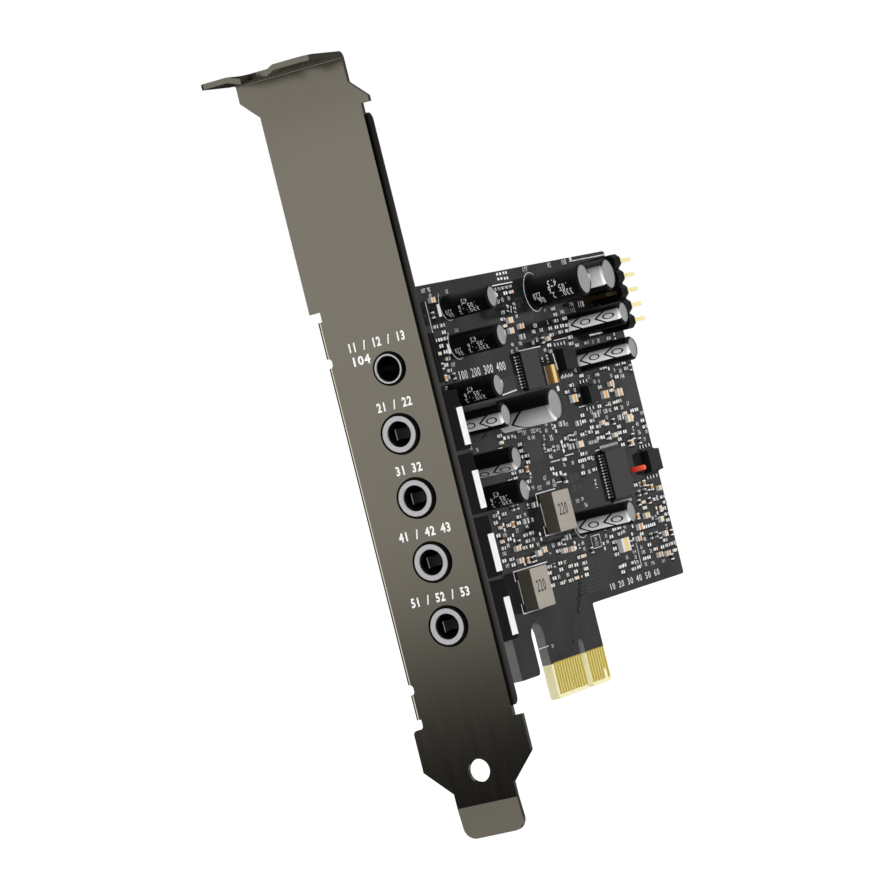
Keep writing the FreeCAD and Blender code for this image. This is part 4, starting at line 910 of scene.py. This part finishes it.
def fillBoard():
    makeChip()
    draw = random.Random(crowd["seed"])
    cells = occupied()
    for x0, x1, z0, z1 in crowd["bare"]:
        cells.update(covered((x0 + x1) / 2, (z0 + z1) / 2, x1 - x0, z1 - z0))
    kinds = {"tan": [], "dark": [], "ends": [], "print": [], "shadePatches": []}
    margin = crowd["margin"]
    for x0, x1, z0, z1 in crowd["zones"]:
        z = z0 + margin["bottom"]
        while z < z1 - margin["top"]:
            x = x0 + draw.uniform(*margin["left"])
            while x < x1 - margin["right"]:
                pick = draw.random()
                upright = draw.random() < crowd["upright"]
                spots = covered(x, z, *crowd["room"][upright])
                nudge = draw.uniform(-crowd["nudge"], crowd["nudge"])
                text = str(draw.randint(1, 99))
                if not cells.intersection(spots):
                    fillPlace(kinds, pick, x, z, nudge, upright, text)
                    if pick < crowd["shares"]["print"]:
                        cells.update(spots)
                x += crowd["across"] * draw.uniform(*crowd["spread"])
            z += crowd["up"]
    join(kinds["tan"], "small_chip_capacitors", "ceramic")
    join(kinds["dark"], "small_chip_resistors", "resistor")
    join(kinds["ends"], "small_chip_ends", "pads")
    join(kinds["print"], "small_part_numbers", "print")
    join(kinds["shadePatches"], "small_part_shade_patches", "shadePatch")


# Copper under the mask: a bus of tracks that turn down to the contacts at 45 degrees, in columns on
# both sides of the key, and wide pours as X, Z, length and height
tracks = {
    "width": 0.32, "depth": 0.012 * mm, "overlap": 0.4,
    "bus": {"top": 19.6, "pitch": 0.62, "far": 21.0, "farStep": 0.9, "near": 6.5, "nearStep": 0.25,
            "columns": (6.9, 5.9, 4.9, 3.9, 2.9, 1.9, -2.6, -3.6, -4.6), "low": 6.2, "leastDrop": 0.4},
    "pourDepth": 0.008 * mm,
    "pours": [(-9.5, 49.6, 24.0, 4.0), (43.4, 44.8, 5.2, 4.6), (11.9, 33.2, 1.6, 1.2),
              (13.9, 33.2, 1.6, 1.2), (12.0, 31.5, 1.6, 1.2), (14.1, 31.5, 1.6, 1.2),
              (9.0, 60.2, 8.0, 1.1), (-3.0, 39.2, 13.0, 3.6)],
}


def layTracks():
    bus = tracks["bus"]
    width = tracks["width"]
    pieces = []
    for i, column in enumerate(bus["columns"]):
        level = bus["top"] - i * bus["pitch"]
        corner = bus["near"] - i * bus["nearStep"]
        drop = max(corner - column, bus["leastDrop"])
        bends = [(bus["far"] - i * bus["farStep"], level), (corner, level), (column, level - drop),
                 (column, bus["low"])]
        for (x0, z0), (x1, z1) in zip(bends, bends[1:]):
            length = math.hypot(x1 - x0, z1 - z0) + width * tracks["overlap"]
            turn = math.degrees(math.atan2(z1 - z0, x1 - x0))
            pieces.append(bar("board", (x0 + x1) / 2, (z0 + z1) / 2, length, width, turn,
                              tracks["depth"], 0.0))
    for row in tracks["pours"]:
        pieces.append(bar("board", *row, 0.0, tracks["pourDepth"], 0.0))
    join(pieces, "board_tracks", "copper")


# Sleeve print: rows of plain figures along the can, head down. Each row has the angle that it
# faces, the heights that it runs between as shares of the can's, and its figures.
sleevePrint = {
    "small": {"letter": 0.8, "rows": [(170, 0.43, 0.56, "475"), (195, 0.34, 0.74, "105 16"),
                                      (222, 0.32, 0.77, "3301 2"), (204, 0.05, 0.2, "220"),
                                      (226, 0.08, 0.2, "06")]},
    "large": {"letter": 1.15, "rows": [(168, 0.41, 0.6, "475"), (190, 0.41, 0.8, "105 16"),
                                       (212, 0.45, 0.85, "3301 2"), (200, 0.1, 0.26, "220"),
                                       (220, 0.17, 0.3, "06")]},
    "cans": {1: "small", 2: "small", 3: "small", 6: "small", 8: "large"}, "fit": 0.62,
}


def wrapRound(piece, middle, radius, facing, start):
    # the row's own X runs down the can from its start, and its Y round it
    across, upward = middle
    for point in piece.data.vertices:
        angle = math.radians(facing) + point.co.y / radius
        out = radius + lift + point.co.z
        point.co = (across + out * math.cos(angle), boardFront - start + point.co.x,
                    upward + out * math.sin(angle))


def printSleeves():
    pieces = []
    for can, kind in sleevePrint["cans"].items():
        across, upward, radius, tall = canMiddle(can)
        size = sleevePrint[kind]["letter"] * mm / figure["tall"]
        for facing, low, high, text in sleevePrint[kind]["rows"]:
            pitch = (high - low) * tall / len(text)
            shape = Matrix.Diagonal((min(size, pitch / sleevePrint["fit"]), size, inkDepth, 1))
            for i, letter in enumerate(text):
                if letter == " ":
                    continue
                piece = copyOf("fine" + letter, Matrix.Translation(((i + 0.5) * pitch, 0, 0)) @ shape)
                wrapRound(piece, (across, upward), radius, facing, high * tall)
                pieces.append(piece)
    join(pieces, "sleeve_numbers", "print")


inductorPrint = {"text": "220", "height": 1.9, "width": 3.6, "left": 0.4 * mm, "up": 0.3 * mm}


def printInductors():
    pieces = []
    for name in ("inductor_block_1", "inductor_block_2"):
        low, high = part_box(name)
        place = Vector(((low.x + high.x) / 2 - inductorPrint["left"], low.y - lift,
                        (low.z + high.z) / 2 + inductorPrint["up"]))
        pieces += number(inductorPrint["text"], "board", place, inductorPrint["height"], 0.0,
                         inductorPrint["width"])
    join(pieces, "inductor_numbers", "mark")


# The indicator: a small red resin post with a rounded head
indicator = {"x": 35.8, "z": 31.8, "radius": 0.45, "height": 2.6, "round": 0.27}


def makeIndicator():
    deselect()
    tall = indicator["height"] * mm
    bpy.ops.mesh.primitive_cylinder_add(vertices=24, radius=indicator["radius"] * mm, depth=tall,
                                        location=(0, 0, 0))
    piece = bpy.context.object
    editing()
    bpy.ops.mesh.select_all(action="DESELECT")
    bpy.ops.object.mode_set(mode="OBJECT")
    for face in piece.data.polygons:
        face.select = face.normal.z > 0.9
    bpy.ops.object.mode_set(mode="EDIT")
    bpy.ops.mesh.bevel(offset=indicator["round"] * mm, segments=4, affect="EDGES")
    leaveEdit()
    piece.data.transform(laid("board", onFace("board", indicator["x"], indicator["z"], tall / 2)))
    smoothByAngle(piece, 40)
    join([piece], "indicator", "red")


# Contact springs: a bent leaf against the wall of the bore in each of the lower four jacks
leaf = {"start": 1.5, "length": 6.0, "width": 1.7, "thick": 0.18, "bend": 0.5, "bore": 1.8}


def makeLeaves():
    deselect()
    bpy.ops.mesh.primitive_grid_add(x_subdivisions=6, y_subdivisions=1, size=1.0, location=(0, 0, 0))
    for point in bpy.context.object.data.vertices:
        x, y, z = point.co
        bow = 1 - (2 * x) ** 2
        point.co = Vector(((x + 0.5) * leaf["length"], bow * leaf["bend"], y * leaf["width"])) * mm
    editing()
    extrude(0, leaf["thick"] * mm, 0)
    leaveEdit()
    keepMaster("leaf")
    out = (leaf["bore"] - leaf["bend"] - leaf["thick"]) * mm
    for jack in range(2, 6):
        low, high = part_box("jack_ring_%d" % jack)
        place = Vector((low.x + leaf["start"] * mm, (low.y + high.y) / 2 + out, (low.z + high.z) / 2))
        join([copyOf("leaf", Matrix.Translation(place))], "jack_leaf_%d" % jack, "spring")


# Solder on the back: a cone of solder round each lead that comes through the board, hollowed
# between pad and lead; leads nearer to each other than "near" share one
joint = {"foot": 0.85, "tip": 0.34, "height": 0.75, "hollow": 0.42, "proud": 0.4, "near": 1.1}


def leadSpots():
    spots = []
    for name in ["capacitor_leads", "header_pins"] + ["jack_contacts_%d" % jack for jack in range(1, 6)]:
        ends = {}
        for point in nodes[name].data.vertices:
            if point.co.y > boardBack + joint["proud"] * mm:
                key = (round(point.co.x / mm), round(point.co.z / mm))
                ends.setdefault(key, []).append(point.co.copy())
        merged = []
        for group in ends.values():
            middle = sum(group, Vector()) / len(group)
            near = [other for other in merged if (other[0] - middle).length < joint["near"] * mm]
            if near:
                near[0][1].extend(group)
            else:
                merged.append((middle, group))
        for middle, group in merged:
            low = [min(point[i] for point in group) for i in (0, 2)]
            high = [max(point[i] for point in group) for i in (0, 2)]
            spots.append(((low[0] + high[0]) / 2 / mm, (low[1] + high[1]) / 2 / mm))
    return spots


def solderBack():
    deselect()
    tall = joint["height"] * mm
    bpy.ops.mesh.primitive_cone_add(vertices=14, radius1=joint["foot"] * mm, radius2=joint["tip"] * mm,
                                    depth=tall, location=(0, 0, 0))
    editing("EDGE")
    bpy.ops.mesh.subdivide(number_cuts=2)
    leaveEdit()
    piece = bpy.context.object
    for point in piece.data.vertices:
        x, y, z = point.co
        waist = 1 - joint["hollow"] * math.sin(math.pi * (z / tall + 0.5))
        point.co = (x * waist, y * waist, z + tall / 2)
    smoothByAngle(piece, 50)
    keepMaster("joint")
    spots = leadSpots()
    pieces = [put("joint", "back", x, z, 0.0, 0.0) for x, z in spots]
    join(pieces, "solder_joints", "solder")
    print("solder joints", len(spots))
    return spots


# The back of the board: figures, rings round the cans' leads, vias and tracks, at places drawn from a
# seeded row between x and z; inside is where a track may reach
backPrint = {
    "seed": 19, "tries": 40, "x": (-24, 45), "z": (15.5, 66.5), "clear": 2.2,
    "labels": 46, "labelRoom": (2.2, 1.0), "labelHeight": 0.8,
    "tracks": 34, "trackLength": (4, 14), "trackWidth": 0.3, "trackRoom": 0.5, "upright": 0.4,
    "inside": (16, 67, 46),
    "vias": 160, "viaRoom": (0.9, 0.9),
}


def printBack(spots):
    draw = random.Random(backPrint["seed"])
    makeInkRing("backRing", 2.6, 0.15)
    makeInkRing("via", 0.26, 0.16)
    taken = set()
    for x, z in spots:
        taken.update(covered(x, z, backPrint["clear"], backPrint["clear"]))

    def findPlace(length, height):
        for attempt in range(backPrint["tries"]):
            x = draw.uniform(*backPrint["x"])
            z = draw.uniform(*backPrint["z"])
            cells = covered(x, z, length, height)
            if not taken.intersection(cells):
                taken.update(cells)
                return x, z
        return None

    ink = []
    for can in sleeves["cans"]:
        x, z, radius, tall = canMiddle(can)
        ink.append(put("backRing", "back", x / mm, z / mm))
    copper = []
    holes = []
    for i in range(backPrint["labels"]):
        place = findPlace(*backPrint["labelRoom"])
        if place:
            text = str(draw.randint(1, 199))
            ink += number(text, "back", onFace("back", *place), backPrint["labelHeight"])
    bottom, top, right = backPrint["inside"]
    for i in range(backPrint["tracks"]):
        length = draw.uniform(*backPrint["trackLength"])
        upright = draw.random() < backPrint["upright"]
        room = backPrint["trackRoom"]
        place = findPlace(*((room, length) if upright else (length, room)))
        if not place:
            continue
        x, z = place
        if bottom < z - length / 2 and z + length / 2 < top and x + length / 2 < right:
            copper.append(bar("back", x, z, length, backPrint["trackWidth"], 90 if upright else 0,
                              tracks["depth"], 0.0))
    for i in range(backPrint["vias"]):
        place = findPlace(*backPrint["viaRoom"])
        if place:
            holes.append(put("via", "back", *place))
    join(ink, "back_print", "print")
    join(copper, "back_tracks", "copper")
    join(holes, "back_vias", "tin")


makeCamera()
makeFloor()
makeWorld()
makeLamps()
makeFinishes()
dressNodes()
print("nodes dressed")
makeBlock("bar", 1, 1, 1)
makeDigits()
printPlate()
printBoard()
fillBoard()
layTracks()
printSleeves()
printInductors()
makeIndicator()
makeLeaves()
printBack(solderBack())
for master in masters.values():
    bpy.data.objects.remove(master)
print("pieces ready")
